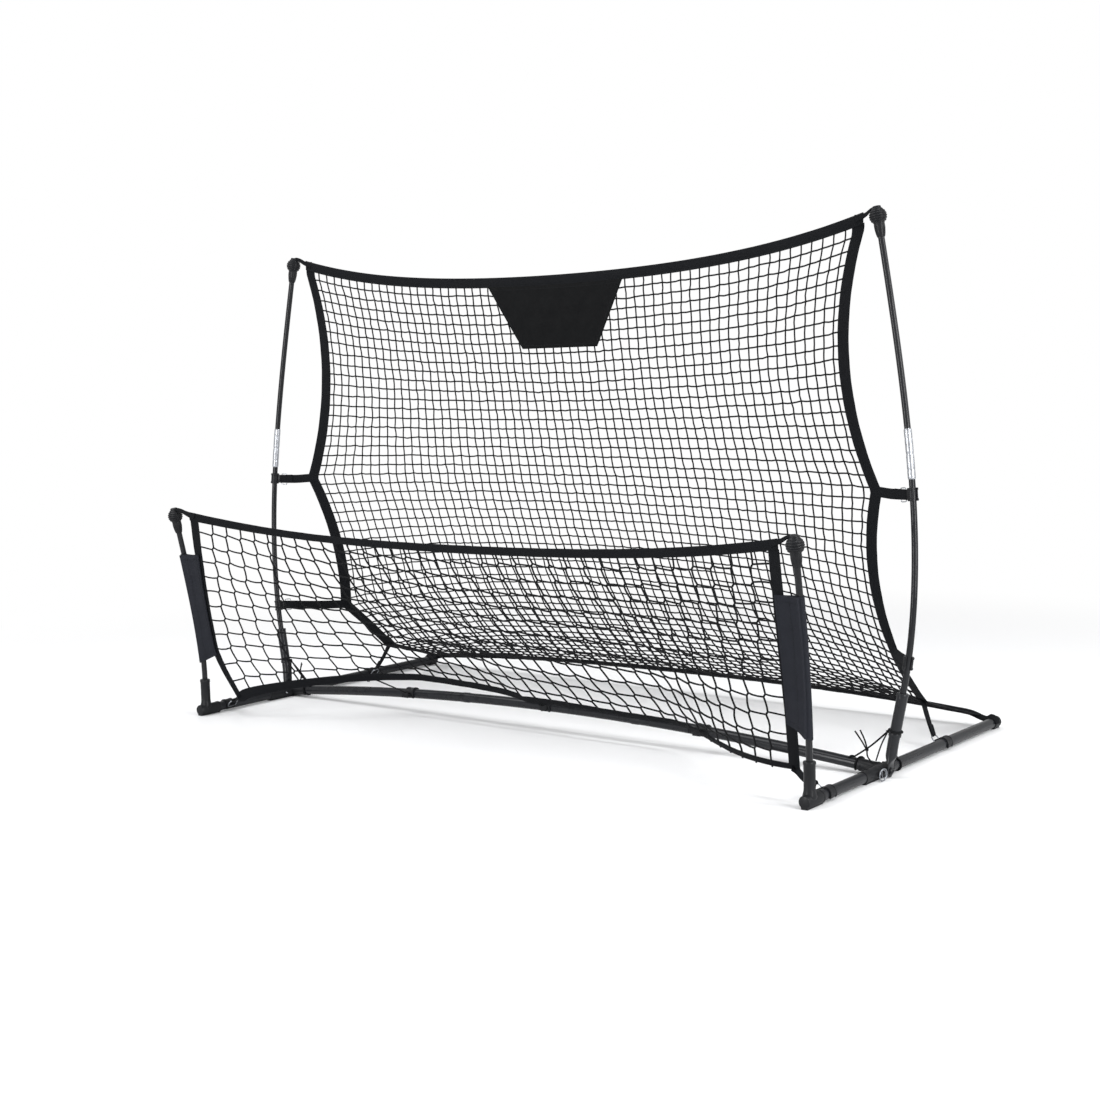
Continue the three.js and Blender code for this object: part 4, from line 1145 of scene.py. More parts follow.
def rebound_bar_clamps():
    """Snap clips round the rails, each with a steel ring for its strap."""
    for side, sign in SIDES:
        for name, y in (("front", FRONT_CLAMP_Y), ("rear", REAR_CLAMP_Y)):
            shape = Shape()
            bore, outer, width = TUBE_R + 0.0002, 0.0170, 0.030
            add_clip(shape, (RAIL_X, y, RAIL_Z), (0, 1, 0), (0, 0, 1), bore, outer, width, 2.1, 0.0011)
            lug_x = RAIL_X - 0.0160
            low = (lug_x - 0.009, y - 0.010, RAIL_Z - 0.0015)
            add_block(shape, low, (lug_x + 0.003, y + 0.010, RAIL_Z + 0.0045), 0.0015)
            x = lug_x - 0.006
            z = RAIL_Z + 0.002
            ring = [(x + 0.004, y - 0.013, z - 0.003), (x + 0.004, y + 0.013, z - 0.003),
                    (x - 0.008, y + 0.0135, z + 0.011), (x - 0.011, y, z + 0.0145),
                    (x - 0.008, y - 0.0135, z + 0.011)]
            wire_ring(shape, ring, 0.0018)
            made = shape.mirrored(sign).build(f"{name}_rail_clip_{side}", finishes("plastic", "zinc"))
            place_piece(made, f"{name}_clamp_{side}", "black_plastic", f"{name}_bar_clamp_{side}")


def clamp_frame(height, tie):
    """Where a rod clip sits: its place, the rod's direction there, and the way to its tie on the net."""
    t = parameter_at(rear_pole, height)
    place = rear_pole(t)
    axis = unit(rear_pole(t + 1e-3) - rear_pole(t - 1e-3))
    toward = tie - place
    toward = unit(toward - axis * np.dot(toward, axis))
    return place, axis, toward


def rebound_pole_clamps():
    """Snap clips on the rods, each with a lug and a wire slider for its strap."""
    for name, height, tie in (("upper", UPPER_CLAMP_Z, REAR_TIES[1]), ("lower", LOWER_CLAMP_Z, REAR_TIES[2])):
        place, axis, toward = clamp_frame(height, tie)
        for side, sign in SIDES:
            shape = Shape()
            add_clip(shape, place, axis, toward, POLE_R + 0.0002, 0.0122, 0.032, 1.7, 0.0013)
            across = np.cross(axis, toward)
            turn = Matrix((
                (toward[0], across[0], axis[0], place[0]),
                (toward[1], across[1], axis[1], place[1]),
                (toward[2], across[2], axis[2], place[2]),
                (0, 0, 0, 1),
            ))
            add_block(shape, (0.0105, -0.003, -0.0125), (0.0195, 0.003, 0.0125), 0.0012, 0, turn)
            centre = place + toward * 0.0330
            corners = []
            for a, b in ((-1, -1), (-1, 0), (-1, 1), (0, 1.12), (1, 1), (1, 0), (1, -1), (0, -1.12)):
                corners.append(centre + toward * 0.0085 * a + axis * 0.0150 * b)
            wire_ring(shape, corners, 0.0013)
            made = shape.mirrored(sign).build(f"{name}_rod_clip_{side}", finishes("plastic", "zinc"))
            place_piece(made, f"{name}_clamp_{side}", "black_plastic", f"{name}_pole_clamp_{side}")


# ---- nets -------------------------------------------------


def add_strand(shape, knots, normals, radius, steps, droop):
    """One strand through its knots, bowed a little between each pair of them."""
    count = len(knots)
    s = np.arange(0, (count - 1) * steps + 1) / steps
    k = np.minimum(s.astype(int), count - 2)
    t = (s - k)[:, None]
    path = knots[k] * (1 - t) + knots[k + 1] * t
    path = path + 4 * t * (1 - t) * droop[k]
    up = unit(normals[k] * (1 - t) + normals[k + 1] * t)
    add_tube(shape, path, radius, 6, up=up)


def net_grid(surface, u, v, slack, seed):
    """Knot places over a surface, each a little out of line except along the borders."""
    rng = np.random.default_rng(seed)
    uu, vv = np.meshgrid(u, v, indexing="ij")
    places = surface(uu, vv)
    normals = normal_of(surface, uu, vv)
    wander = rng.normal(0, slack / 2, places.shape)
    wander[0], wander[-1], wander[:, 0], wander[:, -1] = 0, 0, 0, 0
    return places + wander, normals, rng


def even_columns(u, v):
    """Where each column runs: along the drawn-in edge at the sides, but straight through the middle."""
    samples = REAR_EDGE(np.linspace(-0.6, 1.6, 2200).clip(0, 1))[:, 0]
    window = np.hanning(420)
    calm = np.convolve(samples, window / window.sum(), "same")[600:1600]
    inside = np.clip(v, 0, 1)
    calm = np.interp(inside, np.linspace(0, 1, 1000), calm)
    edge = REAR_EDGE(inside)[..., 0]
    return u * (calm + (edge - calm) * u**4) / edge


def rebound_rear_net():
    """The tall net: fine square mesh with a small knot at every crossing."""
    nets = bpy.context.scene.rebound_nets
    columns, rows, radius = nets.rear_columns, nets.rear_rows, nets.rear_twine / 2
    u = np.linspace(-0.997, 0.997, columns + 1)
    v = np.linspace(-0.013, 0.992, rows + 1)

    def surface(a, b):
        return rear_surface(even_columns(a, b), b)

    places, normals, rng = net_grid(surface, u, v, nets.slack, 7)
    # Rows kink round the bottom corners of the panel, whose cloth does not stretch with the mesh.
    height = places[..., 2]
    below = np.clip((1.075 - height) / 0.10, 0, 1) * np.exp(-np.maximum(1.06 - height, 0) / 0.06)
    under = np.exp(-(((places[..., 0] - 0.015) / 0.15) ** 4))
    places[..., 2] -= 0.012 * below * under
    shape = Shape()
    for i in range(1, columns):
        bow = rng.normal(0, 0.0006, (rows, 3))
        add_strand(shape, places[i], normals[i], radius, 2, bow)
    for j in range(1, rows):
        bow = rng.normal(0, 0.0005, (columns, 3)) + point(0, 0, -0.0009)
        add_strand(shape, places[:, j], normals[:, j], radius, 2, bow)
    inner = places[1:-1, 1:-1].reshape(-1, 3)
    n = normals[1:-1, 1:-1].reshape(-1, 3)
    along = unit(places[2:, 1:-1] - places[:-2, 1:-1]).reshape(-1, 3)
    down = np.cross(n, along)
    turn = rng.normal(0.785, 0.15, (len(inner), 1))
    first = along * np.cos(turn) + down * np.sin(turn)
    second = -along * np.sin(turn) + down * np.cos(turn)
    add_beads(shape, inner, np.stack((first * 0.0032, second * 0.0024, n * 0.0021), 1))
    made = shape.build("tall_net", finishes("rear_twine"), 80)
    bend_piece(made, "base", "rear_frame", FOLD_START, FOLD_END, "netting", "rear_net")


def rebound_front_net():
    """The front net: open mesh whose strands run side by side for a short slant at each crossing."""
    nets = bpy.context.scene.rebound_nets
    columns, rows, radius = nets.front_columns, nets.front_rows, nets.front_twine / 2
    u = np.linspace(-0.99, 0.99, columns + 1)
    v = np.linspace(-0.005, 0.985, rows + 1)
    places, normals, rng = net_grid(front_surface, u, v, nets.slack * 1.6, 11)
    along = unit(np.gradient(places, axis=0))
    down = unit(np.gradient(places, axis=1))
    slant = (along - down * 1.2) * 0.0030
    shape = Shape()
    for i in range(1, columns):
        add_slanted(shape, places[i], normals[i], slant[i], radius, rng, rows)
    for j in range(1, rows):
        add_slanted(shape, places[:, j], normals[:, j], -slant[:, j], radius, rng, columns)
    inner = places[1:-1, 1:-1].reshape(-1, 3)
    n = normals[1:-1, 1:-1].reshape(-1, 3)
    first = slant[1:-1, 1:-1].reshape(-1, 3)
    second = unit(np.cross(n, first))
    add_beads(shape, inner, np.stack((first * 1.25, second * 0.0029, n * 0.0024), 1))
    made = shape.build("front_net_mesh", finishes("front_twine"), 80)
    place_piece(made, "base", "netting", "front_net")


def add_slanted(shape, knots, normals, slant, radius, rng, cells):
    """A strand that enters each knot at one end of its slant and leaves at the other."""
    before, after = knots + slant, knots - slant
    before[0], after[0] = knots[0], knots[0] + (knots[1] - knots[0]) * 0.02
    before[-1], after[-1] = knots[-1] - (knots[-1] - knots[-2]) * 0.02, knots[-1]
    doubled = np.stack((before, after), 1).reshape(-1, 3)
    ups = np.repeat(normals, 2, axis=0)
    droop = np.zeros((len(doubled) - 1, 3))
    droop[1::2] = rng.normal(0, 0.0012, (cells, 3)) + point(0, 0, -0.0010)
    add_strand(shape, doubled, ups, radius, 3, droop)


# ---- tapes ------------------------------------------------

# The outline of a folded and sewn tape: (share of the width, share of half the thickness).
TAPE_SECTION = np.array((
    (0.0, 0.0), (0.012, 0.62), (0.045, 0.95), (0.10, 0.98), (0.13, 0.74), (0.17, 1.0), (0.5, 0.94),
    (0.83, 1.0), (0.87, 0.74), (0.90, 0.98), (0.955, 0.95), (0.988, 0.62), (1.0, 0.0), (0.988, -0.62),
    (0.955, -0.95),
    (0.90, -0.98), (0.87, -0.74), (0.83, -1.0), (0.5, -0.94), (0.17, -1.0), (0.13, -0.74), (0.10, -0.98),
    (0.045, -0.95), (0.012, -0.62),
))


def add_tape(shape, outer, inner, normals, thickness, pucker=0.0):
    """A tape between two edges, with a stitch groove near each, puckered a little along its length."""
    s = TAPE_SECTION[:, 0][None, :, None]
    h = TAPE_SECTION[:, 1][None, :, None] * thickness / 2
    along = np.concatenate(((0,), np.cumsum(np.linalg.norm(np.diff(outer, axis=0), axis=1))))[:, None, None]
    wave = pucker * (np.sin(along * 173.0 + s * 3.1) * 0.6 + np.sin(along * 61.0 - s * 4.7)) * 0.5
    rings = outer[:, None] * (1 - s) + inner[:, None] * s + normals[:, None] * (h + wave)
    faces, places = skin(rings)
    return shape.add(rings, faces, places)


def add_stitches(shape, path, normals, pitch, thickness, finish_number=1, faces_out=(1, -1)):
    """A row of stitches along a path, on one or both faces of the cloth."""
    path = np.asarray(path, float)
    lengths = np.concatenate(((0,), np.cumsum(np.linalg.norm(np.diff(path, axis=0), axis=1))))
    at = np.arange(pitch / 2, lengths[-1], pitch)
    places = np.stack([np.interp(at, lengths, path[:, k]) for k in range(3)], -1)
    n = unit(np.stack([np.interp(at, lengths, normals[:, k]) for k in range(3)], -1))
    ahead = np.stack([np.interp(at + 1e-3, lengths, path[:, k]) for k in range(3)], -1)
    along = unit(ahead - places + 1e-9)
    side = np.cross(along, n)
    thickness = np.interp(at, lengths, np.broadcast_to(thickness, lengths.shape))[:, None]
    for face in faces_out:
        axes = np.stack((along * pitch * 0.36, side * 0.00055, n * 0.00045), 1)
        add_beads(shape, places + n * face * thickness / 2 * 0.80, axes, finish_number)
    return shape


def border(u, top, bottom, side_steps, hem_steps):
    """Places down the right side of a border, across its hem and up the left side."""
    down = [(u, top + (bottom - top) * k / side_steps) for k in range(side_steps)]
    across = [(u * (1 - 2 * k / hem_steps), bottom) for k in range(hem_steps + 1)]
    up = [(-x, v) for x, v in reversed(down)]
    return np.array(down + across + up)


def taped_border(surface, outer, inner):
    middle = (outer + inner) / 2
    normals = normal_of(surface, middle[:, 0], middle[:, 1])
    return surface(outer[:, 0], outer[:, 1]), surface(inner[:, 0], inner[:, 1]), normals


def sewn_tape(name, outer, inner, normals, hem):
    """A tape down both sides and across the hem. hem is (first station, thickness) of the rolled hem."""
    soft = bpy.context.scene.rebound_fabric
    station = np.arange(len(outer))
    away = np.minimum(station - hem[0], len(outer) - 1 - hem[0] - station)
    rolled = np.clip(away / 6 + 0.5, 0, 1)
    thickness = soft.tape_thickness + (hem[1] - soft.tape_thickness) * rolled
    shape = Shape()
    add_tape(shape, outer, inner, normals, thickness[:, None, None], 0.0006)
    for share in (0.13, 0.87):
        row = outer * (1 - share) + inner * share
        add_stitches(shape, row, normals, soft.stitch_pitch, thickness)
    return shape.build(name, finishes("webbing", "thread"), 50)


def rebound_rear_tapes():
    width = bpy.context.scene.rebound_fabric.tape_width
    half = 1.2 * width / 2 / REAR_HALF_WIDTH
    hem = width / REAR_LENGTH
    outer = border(1 + half, -0.011, 1.0, 150, 130)
    inner = border(1 - half, -0.011, 1 - hem, 150, 130)
    made = sewn_tape("tall_net_side_and_hem_tape", *taped_border(rear_surface, outer, inner), (150, 0.0085))
    bend_piece(made, "base", "rear_frame", FOLD_START, FOLD_END, "webbing", "rear_edge_tape")

    # Along the top the tape narrows past the net's corners and climbs to the caps of the two balls.
    x = np.linspace(-0.966, 0.966, 180)
    y = -0.0392 - 0.0135 * (x / REAR_HALF_WIDTH) ** 2
    low = REAR_TOP_Z + 0.012 + (REAR_TIES[0][2] - REAR_TOP_Z) * rise(x / REAR_HALF_WIDTH)
    top_edge = np.stack((x, y, low + width), -1)
    low_edge = np.stack((x, y, low), -1)
    cap = REAR_POLE_TOP + unit(rear_pole(1.0) - rear_pole(0.999)) * 0.0222
    normals = np.tile((0.0, -1.0, 0.0), (len(x), 1))
    made = topped_tape("tall_net_top_tape", top_edge, low_edge, normals, cap)
    place_piece(made, "rear_frame", "webbing", "rear_top_tape")


def topped_tape(name, top_edge, low_edge, normals, cap):
    """A sewn tape with a folded, narrower tail from each end up to a ball's cap."""
    soft = bpy.context.scene.rebound_fabric
    shape = Shape()
    add_tape(shape, top_edge, low_edge, normals, soft.tape_thickness, 0.0006)
    for share in (0.13, 0.87):
        row = top_edge * (1 - share) + low_edge * share
        add_stitches(shape, row, normals, soft.stitch_pitch, soft.tape_thickness)
    for end, sign in ((-1, 1.0), (0, -1.0)):
        goal = cap * point(sign, 1, 1)
        start = (top_edge[end] + low_edge[end]) / 2
        upper = top_edge[end] * 0.72 + low_edge[end] * 0.28
        route = [start - point(sign * 0.022, 0, 0), upper + point(sign * 0.004, 0, 0.0),
                 upper * 0.45 + goal * 0.55 + point(0, 0, 0.002), goal + point(-sign * 0.006, 0, 0.0),
                 goal + point(sign * 0.003, 0, 0.0)]
        path = smooth_path(route, 36)
        share = np.linspace(0, 1, 36)
        half_width = 0.0100 - 0.0040 * np.clip(share / 0.45, 0, 1) ** 0.8
        half_thick = 0.0016 + 0.0006 * np.sin(math.pi * share)
        ring = circle(1.0, 20)
        ring = np.sign(ring) * np.abs(ring) ** 0.6
        section = ring[None] * np.stack((half_width, half_thick), -1)[:, None]
        up = np.stack((0.0 * share, -1 + 0.75 * share**2, 0.15 + 0.85 * share), -1)
        add_sweep(shape, path, section, up=unit(up))
    return shape.build(name, finishes("webbing", "thread"), 50)


def rebound_front_tape():
    width = bpy.context.scene.rebound_fabric.tape_width
    half = width / 2 / FRONT_HALF_WIDTH
    hem = width / FRONT_LENGTH

    outer = border(1 + half, hem / 2, 1.0, 60, 150)
    inner = border(1 - half, hem / 2, 1 - hem, 60, 150)
    # The hem is folded narrower along its right half.
    across = slice(60, 211)
    outer[across, 1] -= 0.45 * hem * np.clip((outer[across, 0] + 0.1) / 0.3, 0, 1)
    made = sewn_tape("front_net_side_and_hem_tape", *taped_border(front_surface, outer, inner), (60, 0.005))
    place_piece(made, "base", "webbing")

    u = np.linspace(-1 - half, 1 + half, 190)
    top_edge, low_edge = front_surface(u, -hem / 2 + 0 * u), front_surface(u, hem / 2 + 0 * u)
    normals = normal_of(front_surface, u, 0 * u)
    lift = normals * 0.0026 * np.sign(-normals[:, 1:2])
    cap = FRONT_POLE_TOP + unit(front_pole(1.0) - front_pole(0.999)) * 0.0222
    made = topped_tape("front_net_top_tape", top_edge + lift, low_edge + lift, normals, cap)
    place_piece(made, "base", "webbing", "front_border_tape")


def rebound_target_panel():
    """A cloth panel sewn to the front of the tall net under its top tape."""
    soft = bpy.context.scene.rebound_fabric
    low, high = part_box("target_panel")
    columns, rows = 90, 40
    u, v = np.meshgrid(np.linspace(0, 1, columns + 1), np.linspace(0, 1, rows + 1), indexing="ij")
    left, right = -0.237 + 0.103 * v, 0.237 - 0.107 * v
    x = left + (right - left) * u
    z = 1.250 - 0.175 * v + 0.004 * ((x / 0.23) ** 2) * (1 - v)
    y = -0.0415 + 0.024 * v
    fade = np.sin(math.pi * np.clip(u, 0.02, 0.98)) * np.sin(math.pi * np.clip(v, 0.0, 1.0))
    drape = 0.0018 * np.sin(x * 34 + z * 11) + 0.0012 * np.sin(x * 71 - z * 47) + 0.0009 * np.sin(z * 120)
    y = y - 0.003 * fade + drape * fade
    places = np.stack((x, y, z), -1)
    du, dv = np.gradient(places, axis=0), np.gradient(places, axis=1)
    n = unit(np.cross(du, dv))
    edge = np.minimum.reduce((u * 0.40, (1 - u) * 0.40, v * 0.163, (1 - v) * 0.163))
    half = np.where(edge < 0.011, 0.0012, 0.0007)
    half = np.where(edge < 1e-6, 0.0006, half)[..., None]
    shape = Shape()
    add_layered_cloth(shape, places + n * half, places - n * half, x, z)
    hem = 0.0085
    corners = [(hem / 0.40, hem / 0.163), (1 - hem / 0.40, hem / 0.163),
               (1 - hem / 0.30, 1 - hem / 0.163), (hem / 0.30, 1 - hem / 0.163)]
    for k in range(4):
        (u0, v0), (u1, v1) = corners[k], corners[(k + 1) % 4]
        t = np.linspace(0, 1, 60)
        i = (u0 + (u1 - u0) * t) * columns
        j = (v0 + (v1 - v0) * t) * rows
        row = sample_grid(places, i, j)
        normals = sample_grid(n, i, j)
        add_stitches(shape, row, normals, soft.stitch_pitch, 0.0026)
    made = shape.build("target_panel_cloth", finishes("panel", "thread"), 60)
    bend_piece(made, "base", "rear_frame", FOLD_START, FOLD_END, "panel_cloth", "target_panel")


def sample_grid(grid, i, j):
    i0 = np.clip(i.astype(int), 0, grid.shape[0] - 2)
    j0 = np.clip(j.astype(int), 0, grid.shape[1] - 2)
    a, b = (i - i0)[:, None], (j - j0)[:, None]
    top = grid[i0, j0] * (1 - a) + grid[i0 + 1, j0] * a
    bottom = grid[i0, j0 + 1] * (1 - a) + grid[i0 + 1, j0 + 1] * a
    return top * (1 - b) + bottom * b


def add_layered_cloth(shape, front, back, across, along, finish_number=0):
    """A thin closed cloth from its front and back grids of points."""
    columns, rows = front.shape[0], front.shape[1]
    layer = columns * rows
    place = np.stack((across, along), -1)
    faces, places = [], []

    def at(side, i, j):
        return side * layer + i * rows + j

    def quad(*corners):
        faces.append([at(*c) for c in corners])
        places.append([tuple(place[c[1], c[2]]) for c in corners])

    for i in range(columns - 1):
        for j in range(rows - 1):
            quad((0, i, j), (0, i + 1, j), (0, i + 1, j + 1), (0, i, j + 1))
            quad((1, i, j + 1), (1, i + 1, j + 1), (1, i + 1, j), (1, i, j))
    for i in range(columns - 1):
        quad((1, i, 0), (1, i + 1, 0), (0, i + 1, 0), (0, i, 0))
        quad((0, i, rows - 1), (0, i + 1, rows - 1), (1, i + 1, rows - 1), (1, i, rows - 1))
    for j in range(rows - 1):
        quad((0, 0, j), (0, 0, j + 1), (1, 0, j + 1), (1, 0, j))
        quad((1, columns - 1, j), (1, columns - 1, j + 1), (0, columns - 1, j + 1), (0, columns - 1, j))
    points = np.concatenate((front.reshape(-1, 3), back.reshape(-1, 3)))
    return shape.add(points, faces, places, finish_number)


# ---- straps, sleeves and cords ----------------------------


def add_strap(shape, route, wide, width, thickness=0.0019, count=40, stitched=()):
    """A webbing strap along a route. wide is its broad direction, stitched the shares with a stitched bar."""
    path = smooth_path(route, count)
    widths = np.broadcast_to(np.asarray(width, float), (len(path),))
    tangents = unit(np.gradient(path, axis=0))
    wide = unit(np.asarray(wide, float) - tangents * (tangents @ np.asarray(wide, float))[:, None])
    normals = np.cross(tangents, wide)
    outer = path + wide * widths[:, None] / 2
    inner = path - wide * widths[:, None] / 2
    add_tape(shape, outer, inner, normals, thickness, 0.0003)
    for share in stitched:
        k = int(share * (len(path) - 1))
        across = outer[k] * 0.88 + inner[k] * 0.12, outer[k] * 0.12 + inner[k] * 0.88
        row = line(*across, 8)
        add_stitches(shape, row, np.tile(normals[k], (8, 1)), 0.0036, thickness * 1.15)
    return path


def rebound_rod_straps():
    """Straps from the tall net's side tape to the clips on the rods, folded back through their sliders."""
    width = bpy.context.scene.rebound_fabric.strap_width
    for name, height, tie in (("upper", UPPER_CLAMP_Z, REAR_TIES[1]), ("lower", LOWER_CLAMP_Z, REAR_TIES[2])):
        place, axis, toward = clamp_frame(height, tie)
        slider = place + toward * 0.0225
        anchor = tie + unit(slider - tie) * 0.004
        back = unit(slider - anchor)
        lift = unit(np.cross(back, axis)) * 0.0022
        for side, sign in SIDES:
            shape = Shape()
            halfway = anchor * 0.5 + slider * 0.5 - point(0, 0, 0.0015)
            main = [anchor - back * 0.012, anchor + back * 0.012, halfway, slider - back * 0.003]
            add_strap(shape, main, axis, width, stitched=(0.10, 0.30, 0.86))
            fold = [slider - back * 0.001, slider + back * 0.0022 + lift * 0.5, slider - back * 0.001 + lift,
                    slider - back * 0.040 + lift * 1.1]
            add_strap(shape, fold, axis, width * 0.98, 0.0017, 24, stitched=(0.4, 0.9))
            link = [place + toward * 0.0150 - lift * 0.4, place + toward * 0.0195 - lift * 0.9,
                    place + toward * 0.0180 - lift * 0.1, place + toward * 0.0150 + lift * 0.4]
            add_strap(shape, link, axis, 0.019, 0.0014, 20)
            made = shape.mirrored(sign).build(f"{name}_rod_strap_{side}", finishes("webbing", "thread"), 50)
            ends = [p * point(sign, 1, 1) for p in (anchor, slider)]
            bend_piece(made, "rear_frame", f"{name}_clamp_{side}", *ends, "webbing", f"{name}_strap_{side}")


def rebound_rail_straps():
    """Straps from the bottom corners of both nets to the clips on the rails."""
    rear_corner = REAR_TIES[3]
    for name, y, corner, node in (("bottom", REAR_CLAMP_Y, rear_corner, "bottom_strap"),
                                  ("corner", FRONT_CLAMP_Y, None, "corner_strap")):
        ring = point(RAIL_X - 0.0325, y, RAIL_Z + 0.0165)
        body = "rear" if name == "bottom" else "front"
        for side, sign in SIDES:
            if name == "corner":
                corner = front_surface(sign, 0.975) * point(sign, 1, 1)
            toward = unit(ring - corner)
            lift = unit(np.cross(toward, (0, 1.0, 0))) * 0.0021
            shape = Shape()
            bow = point(0, 0, -0.006) if name == "corner" else point(0, 0, -0.002)
            main = [corner - toward * 0.010, corner + toward * 0.008, (corner + ring) / 2 + bow,
                    ring - toward * 0.004, ring]
            add_strap(shape, main, (0, 1, 0.15), np.linspace(0.024, 0.0195, 40), stitched=(0.12, 0.55, 0.62))
            fold = [ring, ring + toward * 0.0024 + lift * 0.6, ring - toward * 0.002 + lift * 1.2,
                    ring - toward * 0.030 + lift * 1.3]
            add_strap(shape, fold, (0, 1, 0.15), 0.0188, 0.0017, 24, stitched=(0.7, 0.9))
            link = [point(RAIL_X - 0.0165, y, RAIL_Z + 0.0065), point(RAIL_X - 0.0240, y, RAIL_Z + 0.0070),
                    point(RAIL_X - 0.0250, y, RAIL_Z + 0.0035), point(RAIL_X - 0.0180, y, RAIL_Z - 0.0010)]
            add_strap(shape, link, (0, 1, 0), 0.0185, 0.0016, 24)
            made = shape.mirrored(sign).build(f"{name}_rail_strap_{side}", finishes("webbing", "thread"), 50)
            ends = [p * point(sign, 1, 1) for p in (corner, ring)]
            bend_piece(made, "base", f"{body}_clamp_{side}", *ends, "webbing", f"{node}_{side}")
    for side, sign in SIDES:
        # The hem tape runs on over the end of the rail and is sewn down round it.
        end_y = PLUG[0].y + 0.004
        tie = REAR_TIES[4]
        along_hem = [rear_surface(u, 0.992) + point(0, 0, 0.003) for u in (0.66, 0.75, 0.84, 0.92, 0.98)]
        tail = [*along_hem,
                point(RAIL_X - 0.019, end_y, RAIL_Z + 0.011), point(RAIL_X - 0.002, end_y, RAIL_Z + 0.0185),
                point(RAIL_X + 0.014, end_y, RAIL_Z + 0.011), point(RAIL_X + 0.0175, end_y, RAIL_Z)]
        shape = Shape()
        add_strap(shape, tail, (0, 1, 0.6), np.linspace(0.021, 0.019, 70), 0.0045, 70, stitched=(0.5, 0.54))
        made = shape.mirrored(sign).build(f"rear_corner_tail_{side}", finishes("webbing", "thread"), 50)
        place_piece(made, "base", "webbing")


def rebound_pole_sleeves():
    """Cloth sleeves that hold the front net's sides to the front rods: flat, and open round the rod."""
    soft = bpy.context.scene.rebound_fabric
    half = soft.tape_width / 2 / FRONT_HALF_WIDTH
    rows = 46
    share = np.linspace(0, 1, rows)
    top_t, bottom_t = parameter_at(front_pole, 0.4955), parameter_at(front_pole, 0.163)
    rod = front_pole(top_t + (bottom_t - top_t) * share)
    tape_v = 0.205 + (0.770 - 0.205) * share
    for side, sign in SIDES:
        inner = front_surface(sign * (1 - half * 0.4) + 0 * share, tape_v) * point(sign, 1, 1)
        rings = sleeve_rings(rod, inner, share)
        shape = Shape()
        faces, places = skin(rings)
        shape.add(rings, faces, places)
        outward = np.tile((0.0, -1.0, 0.0), (rows, 1))
        for column in (7, 1):
            add_stitches(shape, rings[:, column], outward, soft.stitch_pitch, 0.0012, 1, (1,))
        for k in (2, rows - 3):
            add_stitches(shape, rings[k, 1:11], outward[:10], soft.stitch_pitch, 0.0012, 1, (1,))
        made = shape.mirrored(sign).build(f"rod_sleeve_{side}", finishes("sleeve", "thread"), 50)
        place_piece(made, "base", "webbing", f"pole_sleeve_{side}")


def sleeve_rings(rod, inner, share):
    """Outlines down a sleeve: flat at the net's tape and wide enough for the rod at its other side."""
    rows = len(share)
    wrap = 0.0106
    rings = []
    for k in range(rows):
        across = rod[k] - inner[k]
        reach = np.linalg.norm(across)
        toward = across / reach
        tangent = unit(rod[min(k + 1, rows - 1)] - rod[max(k - 1, 0)])
        thick = unit(np.cross(toward, tangent))
        if thick[1] > 0:
            thick = -thick
        inner[k] += thick * 0.0068
        ripple = 0.0011 * math.sin(share[k] * 17) + 0.0008 * math.sin(share[k] * 41 + 1)
        flat = np.linspace(0.0, 1.0, 12)
        spread = 0.0022 + (wrap - 0.0022) * np.clip((flat - 0.35) / 0.62, 0, 1) ** 1.6
        front_side = [inner[k] + toward * reach * f + thick * (w + ripple * math.sin(math.pi * f) * 1.5)
                      for f, w in zip(flat, spread)]
        angles = np.linspace(0.2, math.pi - 0.2, 12)
        arc = [rod[k] + wrap * (thick * math.cos(a) + toward * math.sin(a)) for a in angles]
        back_side = [inner[k] + toward * reach * f - thick * w for f, w in zip(flat[::-1], spread[::-1])]
        rings.append(front_side + arc + back_side)
    return np.array(rings)


